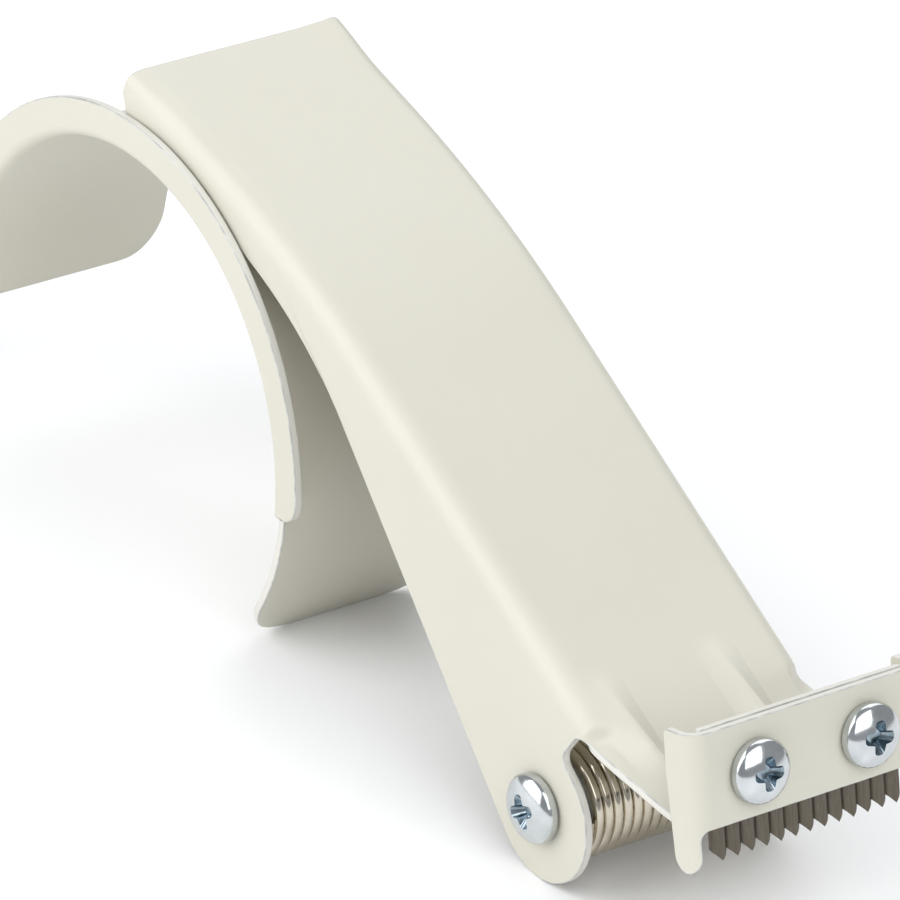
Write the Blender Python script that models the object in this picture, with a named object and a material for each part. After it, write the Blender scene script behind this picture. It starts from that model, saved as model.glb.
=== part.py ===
"""Hand-held strapping tape dispenser in pressed sheet steel.

The model is drawn in a drafting frame whose origin is the centre of the sprung
core hub: +X runs forward to the blade, +Y across the tool from its rimmed side,
+Z up. A root empty then leans the whole tool back until it stands on the hub's
lower end and on the two roller ears.
"""
import math

import bmesh
import bpy
from mathutils import Matrix, Vector

for leftover in list(bpy.data.objects):
    bpy.data.objects.remove(leftover, do_unlink=True)

MM = 0.001

# Sheet, fits and the tape core that sets the scale
SHEET = 1.2 * MM
GAP = 0.3 * MM
CORE_BORE = 76.2 * MM
SPRING_ROOM = 0.9 * MM

# Sprung hub band and its rim
HUB_OUTER = CORE_BORE / 2 + SPRING_ROOM
HUB_INNER = HUB_OUTER - SHEET
HUB_LOWER_END = math.radians(-45.0)
HUB_REAR_END = math.radians(177.2)
RIM_STAND = 5.5 * MM
RIM_RADIUS = HUB_OUTER + RIM_STAND
RIM_BEND = 0.4 * MM
RIM_FRONT_END = math.radians(-6.5)
RIM_REAR_END = math.radians(158.0)
RIM_END_ROUND = 4.2 * MM
BAND_NEAR_EDGE = 1.7 * MM
FAR_CORNER = 7.4 * MM
NEAR_CORNER = 8.2 * MM

# Pressed arm: a channel whose top runs from over the hub down to the blade
ARM_NEAR = SHEET + GAP
ARM_WIDTH = 36.6 * MM
ARM_FAR = ARM_NEAR + ARM_WIDTH
ARM_MIDDLE = ARM_NEAR + ARM_WIDTH / 2
ARM_BEND = 3.5 * MM
ROLL_ROOM = 10.9 * MM
ARM_REAR_X = 2.6 * MM
ARM_REAR_Z = HUB_OUTER + ROLL_ROOM
CROWN_PITCH = math.radians(-20.8)
SLOPE_PITCH = math.radians(-34.1)
PLATE_PITCH = math.radians(-10.5)
CROWN_RADIUS = 180.0 * MM
CROWN_LENGTH = 40.5 * MM
SLOPE_LENGTH = 88.8 * MM
DIP_X = ARM_REAR_X + CROWN_LENGTH * math.cos(CROWN_PITCH) + SLOPE_LENGTH * math.cos(SLOPE_PITCH)
DIP_Z = ARM_REAR_Z + CROWN_LENGTH * math.sin(CROWN_PITCH) + SLOPE_LENGTH * math.sin(SLOPE_PITCH)
DIP_RUN = CROWN_LENGTH + SLOPE_LENGTH
DIP_RADIUS = 6.0 * MM
LAP_STAND = 2.5 * MM
WALL_LAP = HUB_OUTER + LAP_STAND
LIP_STRAIGHT = 0.6 * MM
FAR_LIP = ARM_BEND + LIP_STRAIGHT
HUB_NARROWER = 2.6 * MM
HUB_WIDTH = ARM_WIDTH - HUB_NARROWER

# Roller between the ears
AXLE_BEHIND_DIP = 16.49 * MM
AXLE_BELOW_DIP = 11.93 * MM
EAR_AHEAD = 0.6 * MM
EAR_BELOW = 0.7 * MM
AXLE_X = DIP_X - AXLE_BEHIND_DIP
AXLE_Z = DIP_Z - AXLE_BELOW_DIP
EAR_X = AXLE_X + EAR_AHEAD
EAR_Z = AXLE_Z - EAR_BELOW
EAR_RADIUS = 10.0 * MM
WALL_PITCH = math.radians(-51.3)
WALL_LEAVES_RIM = math.radians(60.0)
WALL_CURVE = 73.0 * MM
COIL_RADIUS = 8.7 * MM
WIRE_RADIUS = 0.62 * MM
COIL_PITCH = 1.69 * MM
COIL_TURNS = int((ARM_WIDTH - 2 * (SHEET + GAP + WIRE_RADIUS)) / COIL_PITCH)
POINTS_PER_TURN = 10
CORE_RADIUS = 6.5 * MM
SHAFT_RADIUS = 4.0 * MM
RUNNING_FIT = 0.35 * MM

# Blade, guard and the upturned tab that carries them
FACE_LEAN = math.radians(6.8)
FACE_AHEAD = 19.71 * MM
FACE_BELOW = 1.63 * MM
FACE_X = DIP_X + FACE_AHEAD
FACE_Z = DIP_Z - FACE_BELOW
GUARD_HEIGHT = 13.6 * MM
GUARD_OVERHANG = 1.4 * MM
GUARD_WIDTH = ARM_WIDTH + 2 * GUARD_OVERHANG
GUARD_BEND = 3.0 * MM
WING_DEPTH = 5.9 * MM
PRONG_DROP = 6.1 * MM
PRONG_RADIUS = 2.45 * MM
WING_TAPER = 0.8 * MM
NECK_FILLET = 1.5 * MM
WING_CORNER = 0.8 * MM
BLADE_STOCK = 0.6 * MM
FLUTE_START = 0.8 * MM
FLUTE_FULL = -0.8 * MM
CREST_FORWARD = 0.2 * MM
TOOTH_PITCH = 2.44 * MM
BLADE_INSET = 2.4 * MM
TEETH = round((ARM_WIDTH - 2 * BLADE_INSET) / TOOTH_PITCH)
FLUTE_DEPTH = 0.55 * MM
TOOTH_DEPTH = 1.3 * MM
BLADE_TOP = 10.8 * MM
BLADE_DROP = 5.2 * MM
TAB_INSET = 1.4 * MM
TAB_BEND = 2.0 * MM
SCREW_INSET = 9.05 * MM
SCREW_SPACING = ARM_WIDTH - 2 * SCREW_INSET
SCREW_HEIGHT = 6.5 * MM

# Screws
BLADE_HEAD_RADIUS = 4.5 * MM
AXLE_HEAD_RADIUS = 4.95 * MM
HEAD_HEIGHT = 2.9 * MM
HEAD_CROWN = 0.9 * MM
SHANK_RADIUS = 2.3 * MM
RECESS_SPAN = 5.0 * MM
RECESS_WIDTH = 1.1 * MM
RECESS_DEPTH = 1.7 * MM
RECESS_FLOOR_SPAN = 1.7 * MM
RECESS_FLOOR_WIDTH = 0.65 * MM
BOSS_RADIUS = 3.7 * MM
BOSS_LENGTH = 1.5 * MM
HOLE_RADIUS = SHANK_RADIUS + GAP
AXLE_SCREW_LENGTH = 11.0 * MM
SCREW_TIP = 0.6 * MM
BLADE_SCREW_TURNS = (math.radians(20.0), math.radians(35.0))
AXLE_SCREW_TURN = math.radians(10.0)

# How finely the round forms are divided
ROUND_SIDES = 32
BORE_SIDES = 24
HUB_BEND_STEPS = 4
HUB_STEP = math.radians(6.0)
CORNER_SHARES = (0.0, 0.03, 0.12, 0.28, 0.5, 0.75, 1.0)
TOP_LINE_STEPS = (8, 4, 5, 3, 2)
LAP_STEPS = 6
WALL_STEPS = 8
FAR_STEPS = 6
EAR_STEPS = 12
NOTCH_STEPS = 6
FOLD_STEPS = 4
REAR_ROWS = (2, 9, 3)
DIP_ROWS = 14
DART_COLUMNS = 3
PRONG_STEPS = 14
DOME_STEPS = 6

# Where the side walls leave the arm's top, as running lengths along its top line
LAP_START = math.radians(87.5)
EAR_FINISH = math.radians(40.0)
REAR_RUN = 18.0 * MM
CROWN_RUN = 62.0 * MM
EAR_LEAD = 46.3 * MM
NOTCH_LEAD = 21.3 * MM
WALL_END_LEAD = 8.1 * MM
FLAT_LAG = 8.7 * MM
EAR_RUN = DIP_RUN - EAR_LEAD
NOTCH_RUN = DIP_RUN - NOTCH_LEAD
WALL_END_RUN = DIP_RUN - WALL_END_LEAD
FLAT_RUN = DIP_RUN + FLAT_LAG
SKIRT_DROP = 0.4 * MM
TAB_TAPER_RUN = 12.0 * MM
NOTCH_RADIUS = 5.1 * MM
NOTCH_TURN = math.radians(60.0)
FAR_CURVE = 20.0 * MM
LEAST_FOLD = 0.001

# Pressed darts that stiffen the dip between slope and blade plate
DART_INSET = 8.8 * MM
DART_SPACING = ARM_WIDTH - 2 * DART_INSET
DART_SHIFT = 2.3 * MM
DART_RISE_RUN = 13.0 * MM
DART_FALL_RUN = 11.0 * MM
DART_HALF_WIDTH = 3.0 * MM

# Joggle that brings the tab's top edge forward over the blade
JOGGLE_ANGLE = math.radians(50.0)
JOGGLE_HEIGHT = 11.8 * MM
JOGGLE_RADIUS = 1.6 * MM
PLATE_INSET = 1.2 * MM

DART_MIDDLE = ARM_MIDDLE - DART_SHIFT

# Planes across the face, as depths behind the guard's front
GUARD_BACK = SHEET
BLADE_FRONT = GUARD_BACK + GAP
BLADE_BACK = BLADE_FRONT + BLADE_STOCK
TAB_FRONT = BLADE_BACK + GAP
TAB_BACK = TAB_FRONT + SHEET
JOGGLE_BACK = BLADE_FRONT + SHEET
GUARD_NEAR = ARM_MIDDLE - GUARD_WIDTH / 2
GUARD_FAR = ARM_MIDDLE + GUARD_WIDTH / 2


def material(name, colour, roughness, metallic):
    made = bpy.data.materials.new(name)
    made.use_nodes = True
    shader = made.node_tree.nodes["Principled BSDF"]
    shader.inputs["Base Color"].default_value = (*colour, 1.0)
    shader.inputs["Roughness"].default_value = roughness
    shader.inputs["Metallic"].default_value = metallic
    return made


ENAMEL = (0.75, 0.72, 0.64)
ZINC = (0.66, 0.70, 0.76)
NICKEL = (0.70, 0.66, 0.58)
TOOL_STEEL = (0.16, 0.14, 0.12)
NYLON = (0.55, 0.55, 0.52)


def piece(name, mesh_maker, place, look, closed=True, smooth=35.0):
    """One named object of the tool from a bmesh, at its place, in its own material."""
    mesh = bpy.data.meshes.new(name)
    if closed:
        bmesh.ops.recalc_face_normals(mesh_maker, faces=mesh_maker.faces)
    mesh_maker.to_mesh(mesh)
    mesh_maker.free()
    mesh.materials.append(material(name, *look))
    mesh.shade_smooth()
    mesh.set_sharp_from_angle(angle=math.radians(smooth))
    made = bpy.data.objects.new(name, mesh)
    bpy.context.scene.collection.objects.link(made)
    made.location = place
    made.parent = root
    return made


def cutter(name, mesh_maker):
    """A shape that only cuts or adds to another piece and is no piece of its own."""
    mesh = bpy.data.meshes.new(name)
    bmesh.ops.recalc_face_normals(mesh_maker, faces=mesh_maker.faces)
    mesh_maker.to_mesh(mesh)
    mesh_maker.free()
    made = bpy.data.objects.new(name, mesh)
    bpy.context.scene.collection.objects.link(made)
    made.hide_render = True
    made.display_type = "WIRE"
    made.parent = root
    return made


def combine(target, tool, operation):
    step = target.modifiers.new(tool.name, "BOOLEAN")
    step.operation = operation
    step.object = tool
    step.solver = "EXACT"


def cylinder_maker(radius, start, end, direction):
    """A closed cylinder between two distances along a direction."""
    maker = bmesh.new()
    turn = Vector((0, 0, 1)).rotation_difference(direction).to_matrix().to_4x4()
    middle = Matrix.Translation(direction * ((start + end) / 2))
    bmesh.ops.create_cone(
        maker,
        cap_ends=True,
        segments=BORE_SIDES,
        radius1=radius,
        radius2=radius,
        depth=end - start,
        matrix=middle @ turn,
    )
    return maker


def arc_points(centre, radius, start, end, steps):
    """Points along an arc in the side view, both ends included."""
    turn = (end - start) / steps
    return [
        Vector((
            centre[0] + radius * math.cos(start + turn * i),
            centre[1] + radius * math.sin(start + turn * i),
        ))
        for i in range(steps + 1)
    ]


def heading(angle):
    return Vector((math.cos(angle), math.sin(angle)))


def rounded(corners, radii, steps):
    """A side-view path through corner points, each inner corner on its own arc."""
    path = [corners[0]]
    for before, corner, after, radius, count in zip(
        corners, corners[1:], corners[2:], radii, steps
    ):
        come = (corner - before).normalized()
        go = (after - corner).normalized()
        turn = come.angle_signed(go)
        reach = radius * abs(math.tan(turn / 2))
        side = -1.0 if turn > 0 else 1.0
        centre = corner - come * reach + Vector((-come.y, come.x)) * side * radius
        spoke = corner - come * reach - centre
        for i in range(count + 1):
            spun = spoke.copy()
            spun.rotate(Matrix.Rotation(-turn * i / count, 2))
            path.append(centre + spun)
    path.append(corners[-1])
    return path


def lengths(path):
    """Running length at each point of a path."""
    total = [0.0]
    for before, after in zip(path, path[1:]):
        total.append(total[-1] + (after - before).length)
    return total


def point_at(path, run, distance):
    """The point of a path at a running length."""
    for i in range(1, len(path)):
        if distance <= run[i] or i == len(path) - 1:
            share = (distance - run[i - 1]) / (run[i] - run[i - 1])
            return path[i - 1].lerp(path[i], min(max(share, 0.0), 1.0))


# The root leans the tool back onto its two resting places
root = bpy.data.objects.new("tool_frame", None)
bpy.context.scene.collection.objects.link(root)

AXLE = Vector((AXLE_X, ARM_MIDDLE, AXLE_Z))
EAR_CENTRE = Vector((EAR_X, EAR_Z))
UP_FACE = Vector((-math.sin(FACE_LEAN), 0, math.cos(FACE_LEAN)))
INTO_FACE = Vector((-math.cos(FACE_LEAN), 0, -math.sin(FACE_LEAN)))
FACE_FOOT = Vector((FACE_X, 0, FACE_Z))
ACROSS = Vector((0, 1, 0))


def face_point(depth, across, height):
    """A place on the cutting face: depth behind the guard, across, height up it."""
    return FACE_FOOT + INTO_FACE * depth + ACROSS * across + UP_FACE * height


def flat(point):
    return Vector((point.x, point.z))


def crossing(first, first_way, second, second_way):
    """Where two side-view lines meet, each given by a point and a direction."""
    across = first_way.x * second_way.y - first_way.y * second_way.x
    step = second - first
    return first + first_way * ((step.x * second_way.y - step.y * second_way.x) / across)


def loft(sections, ring=False):
    """A closed skin through matching closed outlines, capped unless it is a ring."""
    maker = bmesh.new()
    rings = [[maker.verts.new(point) for point in section] for section in sections]
    pairs = list(zip(rings, rings[1:] + rings[:1]))
    for before, after in pairs if ring else pairs[:-1]:
        for i in range(len(before)):
            j = (i + 1) % len(before)
            maker.faces.new((before[i], before[j], after[j], after[i]))
    if not ring:
        maker.faces.new(rings[0])
        maker.faces.new(list(reversed(rings[-1])))
    return maker


def turned(profile, direction, sides=ROUND_SIDES):
    """A closed turned shape from (radius, distance) pairs along a direction."""
    turn = Vector((0, 0, 1)).rotation_difference(direction).to_matrix()
    sections = []
    for radius, distance in profile:
        angles = [2 * math.pi * i / sides for i in range(sides)]
        ring = [Vector((radius * math.cos(a), radius * math.sin(a), distance)) for a in angles]
        sections.append([turn @ point for point in ring])
    return loft(sections)


# Core hub: the section is an L whose foot is the rim, carried round the arc
def corner_cut(angle, radius):
    """How far a rounded corner draws the band's edge in at this angle."""
    from_end = HUB_OUTER * min(angle - HUB_LOWER_END, HUB_REAR_END - angle)
    short = radius - min(max(from_end, 0.0), radius)
    return radius - math.sqrt(radius ** 2 - short ** 2)


def rim_reach(angle):
    """Outer radius of the rim at this angle, or None where the band has no rim."""
    if not RIM_FRONT_END <= angle <= RIM_REAR_END:
        return None
    from_end = RIM_RADIUS * min(angle - RIM_FRONT_END, RIM_REAR_END - angle)
    short = RIM_END_ROUND - min(from_end, RIM_END_ROUND)
    return RIM_RADIUS - RIM_END_ROUND + math.sqrt(RIM_END_ROUND ** 2 - short ** 2)


def hub_section(angle):
    """Closed outline of the band and rim as (radius, across) at one angle."""
    far = HUB_WIDTH - corner_cut(angle, FAR_CORNER)
    reach = rim_reach(angle)
    shares = [i / HUB_BEND_STEPS for i in range(HUB_BEND_STEPS + 1)]
    if reach is None:
        near = BAND_NEAR_EDGE + corner_cut(angle, NEAR_CORNER)
        inside = [(HUB_INNER, near + SHEET * (1 - share)) for share in shares]
        edge = [(HUB_INNER + SHEET / 3, near), (HUB_OUTER - SHEET / 3, near)]
        outside = [(HUB_OUTER, near + SHEET * share) for share in shares]
    else:
        middle = HUB_OUTER + RIM_BEND
        depth = RIM_BEND + SHEET
        turns = [math.pi / 2 * share for share in shares]
        inside = [(middle - depth * math.cos(a), depth - depth * math.sin(a)) for a in turns]
        edge = [(reach, 0.0), (reach, SHEET)]
        outside = [
            (middle - RIM_BEND * math.cos(a), depth - RIM_BEND * math.sin(a))
            for a in reversed(turns)
        ]
    return [(HUB_INNER, far)] + inside + edge + outside + [(HUB_OUTER, far)]


def hub_angles():
    """Stations round the arc, close together where a corner or the rim ends."""
    corner = FAR_CORNER / HUB_OUTER
    finish = RIM_END_ROUND / RIM_RADIUS
    angles = [HUB_LOWER_END + corner * share for share in CORNER_SHARES]
    angles += [HUB_REAR_END - corner * share for share in CORNER_SHARES]
    angles += [RIM_FRONT_END + finish * share for share in CORNER_SHARES]
    angles += [RIM_REAR_END - finish * share for share in CORNER_SHARES]
    blend = finish * CORNER_SHARES[2]
    angles += [RIM_FRONT_END - blend, RIM_REAR_END + blend]
    fixed = sorted(angles)
    for low, high in zip(fixed, fixed[1:]):
        count = math.ceil((high - low) / HUB_STEP)
        angles += [low + (high - low) * i / count for i in range(1, count)]
    return sorted(angles)


def core_hub():
    sections = [
        [
            Vector((radius * math.cos(angle), across, radius * math.sin(angle)))
            for radius, across in hub_section(angle)
        ]
        for angle in hub_angles()
    ]
    return piece("core_hub", loft(sections), (0, 0, 0), (ENAMEL, 0.32, 0.0))


# Arm: one skin, laid along its top line and across its folded width
def arm_top_line():
    """Side-view path of the arm's top face, from its rear end to the tab's top."""
    rear = Vector((ARM_REAR_X, ARM_REAR_Z))
    crown = rear + heading(CROWN_PITCH) * CROWN_LENGTH
    dip = crown + heading(SLOPE_PITCH) * SLOPE_LENGTH
    tab_low = flat(face_point(TAB_BACK, 0, 0))
    foot = crossing(dip, heading(PLATE_PITCH), tab_low, flat(UP_FACE))
    joggle = flat(face_point(TAB_BACK, 0, JOGGLE_HEIGHT))
    run = (TAB_BACK - JOGGLE_BACK) / math.tan(JOGGLE_ANGLE)
    above = flat(face_point(JOGGLE_BACK, 0, JOGGLE_HEIGHT + run))
    top = flat(face_point(JOGGLE_BACK, 0, GUARD_HEIGHT))
    corners = [rear, crown, dip, foot, joggle, above, top]
    radii = [CROWN_RADIUS, DIP_RADIUS, TAB_BEND, JOGGLE_RADIUS, JOGGLE_RADIUS / 3]
    return rounded(corners, radii, TOP_LINE_STEPS)


def ear_line():
    """Wall outline from the ear's lower tangent, round it and up the notch."""
    ear = arc_points(EAR_CENTRE, EAR_RADIUS, WALL_PITCH - math.pi / 2, EAR_FINISH, EAR_STEPS)
    centre = EAR_CENTRE + heading(EAR_FINISH) * (EAR_RADIUS + NOTCH_RADIUS)
    start = EAR_FINISH + math.pi
    notch = arc_points(centre, NOTCH_RADIUS, start, start - NOTCH_TURN, NOTCH_STEPS)
    return ear + notch[1:]


def resampled(path, shares):
    """Points of a path at shares of its length."""
    run = lengths(path)
    return [point_at(path, run, run[-1] * share) for share in shares]


def near_wall_line(shares):
    """Lower edge of the near wall, from behind the rim to the ear's tangent."""
    ear_foot = EAR_CENTRE + heading(WALL_PITCH - math.pi / 2) * EAR_RADIUS
    lap = arc_points((0, 0), WALL_LAP, LAP_START, WALL_LEAVES_RIM, LAP_STEPS)
    leave = heading(WALL_LEAVES_RIM - math.pi / 2)
    bend = crossing(lap[-1], leave, ear_foot, heading(WALL_PITCH))
    path = lap[:-1] + rounded([lap[-1], bend, ear_foot], [WALL_CURVE], [WALL_STEPS])
    return resampled(path, shares)


def far_wall_line(stations, runs):
    """Lower edge of the far wall: a shallow lip over the hub, then down to the ear."""
    ear_foot = EAR_CENTRE + heading(WALL_PITCH - math.pi / 2) * EAR_RADIUS
    lip = [point - normal * FAR_LIP for point, normal in stations]
    wall_way = heading(WALL_PITCH)
    side = [(point - ear_foot).x * wall_way.y - (point - ear_foot).y * wall_way.x for point in lip]
    turn = next(i for i, value in enumerate(side) if value <= 0)
    corner = crossing(lip[turn - 1], lip[turn] - lip[turn - 1], ear_foot, wall_way)
    path = rounded([lip[turn - 2], corner, ear_foot], [FAR_CURVE], [FAR_STEPS])
    left = [(run - runs[turn - 2]) / (runs[-1] - runs[turn - 2]) for run in runs[turn - 2:]]
    return lip[:turn - 2] + resampled(path, left)


def stations_at(path, runs):
    """Point and outward normal of the top line at running lengths."""
    total = lengths(path)
    probe = SHEET / 10
    made = []
    for run in runs:
        low = point_at(path, total, max(run - probe, 0.0))
        high = point_at(path, total, min(run + probe, total[-1]))
        way = (high - low).normalized()
        made.append((point_at(path, total, run), Vector((-way.y, way.x))))
    return made


def spread(start, end, count):
    return [start + (end - start) * (i + 1) / count for i in range(count)]


def fold_columns(unrolled, inset, skirt):
    """Near fold as (across, depth) from its free end to the top's flat."""
    angle = max(math.pi / 2 * (1 - unrolled), LEAST_FOLD)
    arc = ARM_BEND * math.pi / 2 * (1 - unrolled) + (ARM_BEND - inset) * unrolled
    bend = arc / angle
    end = (ARM_BEND - bend * math.sin(angle), bend * (1 - math.cos(angle)))
    columns = [(end[0] - skirt * math.cos(angle), end[1] + skirt * math.sin(angle))]
    for i in range(FOLD_STEPS + 1):
        turned_by = angle * (1 - i / FOLD_STEPS)
        across = ARM_BEND - bend * math.sin(turned_by)
        columns.append((across, bend * (1 - math.cos(turned_by))))
    return columns


def dart_lift(point, across, slope_end, plate_end):
    """How far a dart raises the sheet at one place of the dip."""
    chord = (plate_end - slope_end).normalized()
    rise = Vector((-chord.y, chord.x)).dot(slope_end - point)
    reach = abs(across - DART_MIDDLE) - DART_SPACING / 2
    fade = max(1 - (reach / DART_HALF_WIDTH) ** 2, 0.0)
    inside = slope_end.x < point.x < plate_end.x
    return max(rise, 0.0) * fade ** 2 if inside else 0.0


def smooth_share(value):
    share = min(max(value, 0.0), 1.0)
    return share * share * (3 - 2 * share)


def arm_rows():
    """The arm's skin as rows across it, each a list of points or None."""
    path = arm_top_line()
    total = lengths(path)
    dip_run = CROWN_LENGTH + SLOPE_LENGTH - path_loss(path)
    rear_runs = [0.0]
    marks = (0.0, REAR_RUN, CROWN_RUN, EAR_RUN)
    for start, end, count in zip(marks, marks[1:], REAR_ROWS):
        rear_runs += spread(start, end, count)
    ear_runs = spread(EAR_RUN, NOTCH_RUN, EAR_STEPS)
    ear_runs += spread(NOTCH_RUN, WALL_END_RUN - GAP, NOTCH_STEPS)
    dip_runs = [WALL_END_RUN] + spread(WALL_END_RUN, dip_run + DART_FALL_RUN, DIP_ROWS)
    front_runs = [run for run in total if run > dip_runs[-1] + GAP]
    runs = rear_runs + ear_runs + dip_runs + front_runs
    stations = stations_at(path, runs)
    shares = [run / EAR_RUN for run in rear_runs]
    near = near_wall_line(shares)[:-1] + ear_line()
    far = far_wall_line(stations[:len(rear_runs)], rear_runs)[:-1] + ear_line()
    slope_end = stations_at(path, [dip_run - DART_RISE_RUN])[0][0]
    plate_end = stations_at(path, [dip_run + DART_FALL_RUN])[0][0]
    rows = []
    for i, (run, (point, normal)) in enumerate(zip(runs, stations)):
        still_folded = (FLAT_RUN - max(run, WALL_END_RUN)) / (FLAT_RUN - WALL_END_RUN)
        unrolled = 1 - max(still_folded, 0.0) ** 2
        inset = PLATE_INSET
        inset += (TAB_INSET - PLATE_INSET) * smooth_share((run - FLAT_RUN) / TAB_TAPER_RUN)
        skirt = SKIRT_DROP * smooth_share((run - NOTCH_RUN) / (WALL_END_RUN - NOTCH_RUN))
        fold = fold_columns(unrolled, inset, skirt * (1 - unrolled))
        across = [(ARM_NEAR + y, depth) for y, depth in fold]
        for middle in (DART_MIDDLE - DART_SPACING / 2, DART_MIDDLE + DART_SPACING / 2):
            for k in range(-DART_COLUMNS, DART_COLUMNS + 1):
                across.append((middle + DART_HALF_WIDTH * k / DART_COLUMNS, 0.0))
        across += [(ARM_FAR - y, depth) for y, depth in reversed(fold)]
        row = []
        for y, depth in across:
            lift = dart_lift(point, y, slope_end, plate_end) - depth
            place = point + normal * lift
            row.append(Vector((place.x, y, place.y)))
        walls = [None, None]
        if i < len(near):
            walls = [
                Vector((near[i].x, ARM_NEAR, near[i].y)),
                Vector((far[i].x, ARM_FAR, far[i].y)),
            ]
        elif i == len(near):
            walls = [row[0], row[-1]]
        rows.append([walls[0]] + row + [walls[1]])
    return rows


def path_loss(path):
    """Length that rounding the crown takes off the straight corner line."""
    turn = abs(CROWN_PITCH - SLOPE_PITCH)
    return CROWN_RADIUS * (2 * math.tan(turn / 2) - turn)


def arm():
    rows = arm_rows()
    maker = bmesh.new()
    grid = [[point and maker.verts.new(point) for point in row] for row in rows]
    for before, after in zip(grid, grid[1:]):
        for i in range(len(before) - 1):
            corners = (before[i], after[i], after[i + 1], before[i + 1])
            if all(corner is not None for corner in corners):
                maker.faces.new(corners)
    bmesh.ops.remove_doubles(maker, verts=maker.verts, dist=GAP / 100)
    made = piece("arm", maker, (0, 0, 0), (ENAMEL, 0.32, 0.0), closed=False)
    wall = made.modifiers.new("sheet", "SOLIDIFY")
    wall.thickness = SHEET
    wall.offset = -1.0
    wall.use_even_offset = True
    for across in screw_places():
        centre = face_point(TAB_BACK, across, SCREW_HEIGHT)
        boss = cylinder_maker(BOSS_RADIUS, -SHEET / 2, BOSS_LENGTH, INTO_FACE)
        bmesh.ops.translate(boss, verts=boss.verts, vec=centre)
        combine(made, cutter("boss_form", boss), "UNION")
    drill_face(made, -SHEET, 3 * TAB_BACK, "tab_drill")
    drill = cylinder_maker(HOLE_RADIUS, -ARM_WIDTH, ARM_WIDTH, ACROSS)
    bmesh.ops.translate(drill, verts=drill.verts, vec=AXLE)
    combine(made, cutter("axle_drill", drill), "DIFFERENCE")
    return made


def screw_places():
    return (ARM_MIDDLE - SCREW_SPACING / 2, ARM_MIDDLE + SCREW_SPACING / 2)


def drill_face(target, start, end, name):
    """The two screw holes through a piece of the cutting face."""
    for across in screw_places():
        drill = cylinder_maker(HOLE_RADIUS, start, end, INTO_FACE)
        centre = face_point(0, across, SCREW_HEIGHT)
        bmesh.ops.translate(drill, verts=drill.verts, vec=centre)
        combine(target, cutter(name, drill), "DIFFERENCE")


# Blade guard: a strip bent round the tab, its wings ending in two rounded prongs
def guard_plan(run):
    """Outer and inner edge of the strip as (depth, across) at a run from its end."""
    straight = WING_DEPTH - GUARD_BEND
    bend = GUARD_BEND * math.pi / 2
    if run <= straight:
        return (WING_DEPTH - run, 0.0), (WING_DEPTH - run, SHEET)
    if run <= straight + bend:
        a = (run - straight) / GUARD_BEND
        inner = GUARD_BEND - SHEET
        outside = (GUARD_BEND * (1 - math.sin(a)), GUARD_BEND * (1 - math.cos(a)))
        return outside, (GUARD_BEND - inner * math.sin(a), GUARD_BEND - inner * math.cos(a))
    across = GUARD_BEND + run - straight - bend
    return (0.0, across), (GUARD_BACK, across)


def guard_heights(run):
    """Lower and upper edge of the strip at a run from its end."""
    top_short = WING_CORNER - min(run, WING_CORNER)
    top = GUARD_HEIGHT - WING_CORNER + math.sqrt(WING_CORNER ** 2 - top_short ** 2)
    middle = WING_TAPER + PRONG_RADIUS
    shoulder = PRONG_RADIUS - PRONG_DROP
    if run <= WING_TAPER:
        share = run / WING_TAPER
        return GUARD_HEIGHT / 2 * (1 - share) + shoulder * share, top
    if run <= middle + PRONG_RADIUS:
        tip = math.sqrt(max(PRONG_RADIUS ** 2 - (run - middle) ** 2, 0.0))
        return shoulder - tip, top
    away = max(middle + PRONG_RADIUS + NECK_FILLET - run, 0.0)
    return math.sqrt(NECK_FILLET ** 2 - away ** 2) - NECK_FILLET, top


def blade_guard():
    prong = WING_TAPER + 2 * PRONG_RADIUS
    turns = [math.pi * i / PRONG_STEPS for i in range(PRONG_STEPS + 1)]
    runs = [0.0, WING_TAPER / 2]
    runs += [WING_TAPER + PRONG_RADIUS * (1 - math.cos(a)) for a in turns]
    quarter = turns[:PRONG_STEPS // 2 + 1]
    runs += [prong + GAP / 10 + NECK_FILLET * math.sin(a) for a in quarter]
    near_half = []
    far_half = []
    for run in runs:
        outside, inside = guard_plan(run)
        low, high = guard_heights(run)
        corners = ((outside, low), (outside, high), (inside, high), (inside, low))
        near_half.append([face_point(p[0], GUARD_NEAR + p[1], h) for p, h in corners])
        far_half.append([face_point(p[0], GUARD_FAR - p[1], h) for p, h in corners])
    sections = near_half + far_half[::-1]
    made = piece("blade_guard", loft(sections), (0, 0, 0), (ENAMEL, 0.32, 0.0))
    drill_face(made, -SHEET, GUARD_BACK + SHEET, "guard_drill")
    return made


# Cutting blade: flat where it is clamped, fluted below, so each flute ends in a point
def cutting_blade():
    near = ARM_MIDDLE - TEETH * TOOTH_PITCH / 2
    sections = []
    for i in range(2 * TEETH + 1):
        across = near + TOOTH_PITCH / 2 * i
        crest = i % 2 == 1
        back = -CREST_FORWARD if crest else FLUTE_DEPTH
        tip = -BLADE_DROP if crest else TOOTH_DEPTH - BLADE_DROP
        line = [(BLADE_TOP, 0.0), (FLUTE_START, 0.0), (FLUTE_FULL, back), (tip, back)]
        front = [face_point(BLADE_FRONT + d, across, h) for h, d in line]
        line[-1] = (tip + BLADE_STOCK, back)
        rear = [face_point(BLADE_BACK + d, across, h) for h, d in reversed(line)]
        sections.append(front + rear)
    made = piece("cutting_blade", loft(sections), (0, 0, 0), (TOOL_STEEL, 0.38, 0.9), smooth=15.0)
    drill_face(made, 0.0, TAB_BACK, "blade_drill")
    return made


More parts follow.
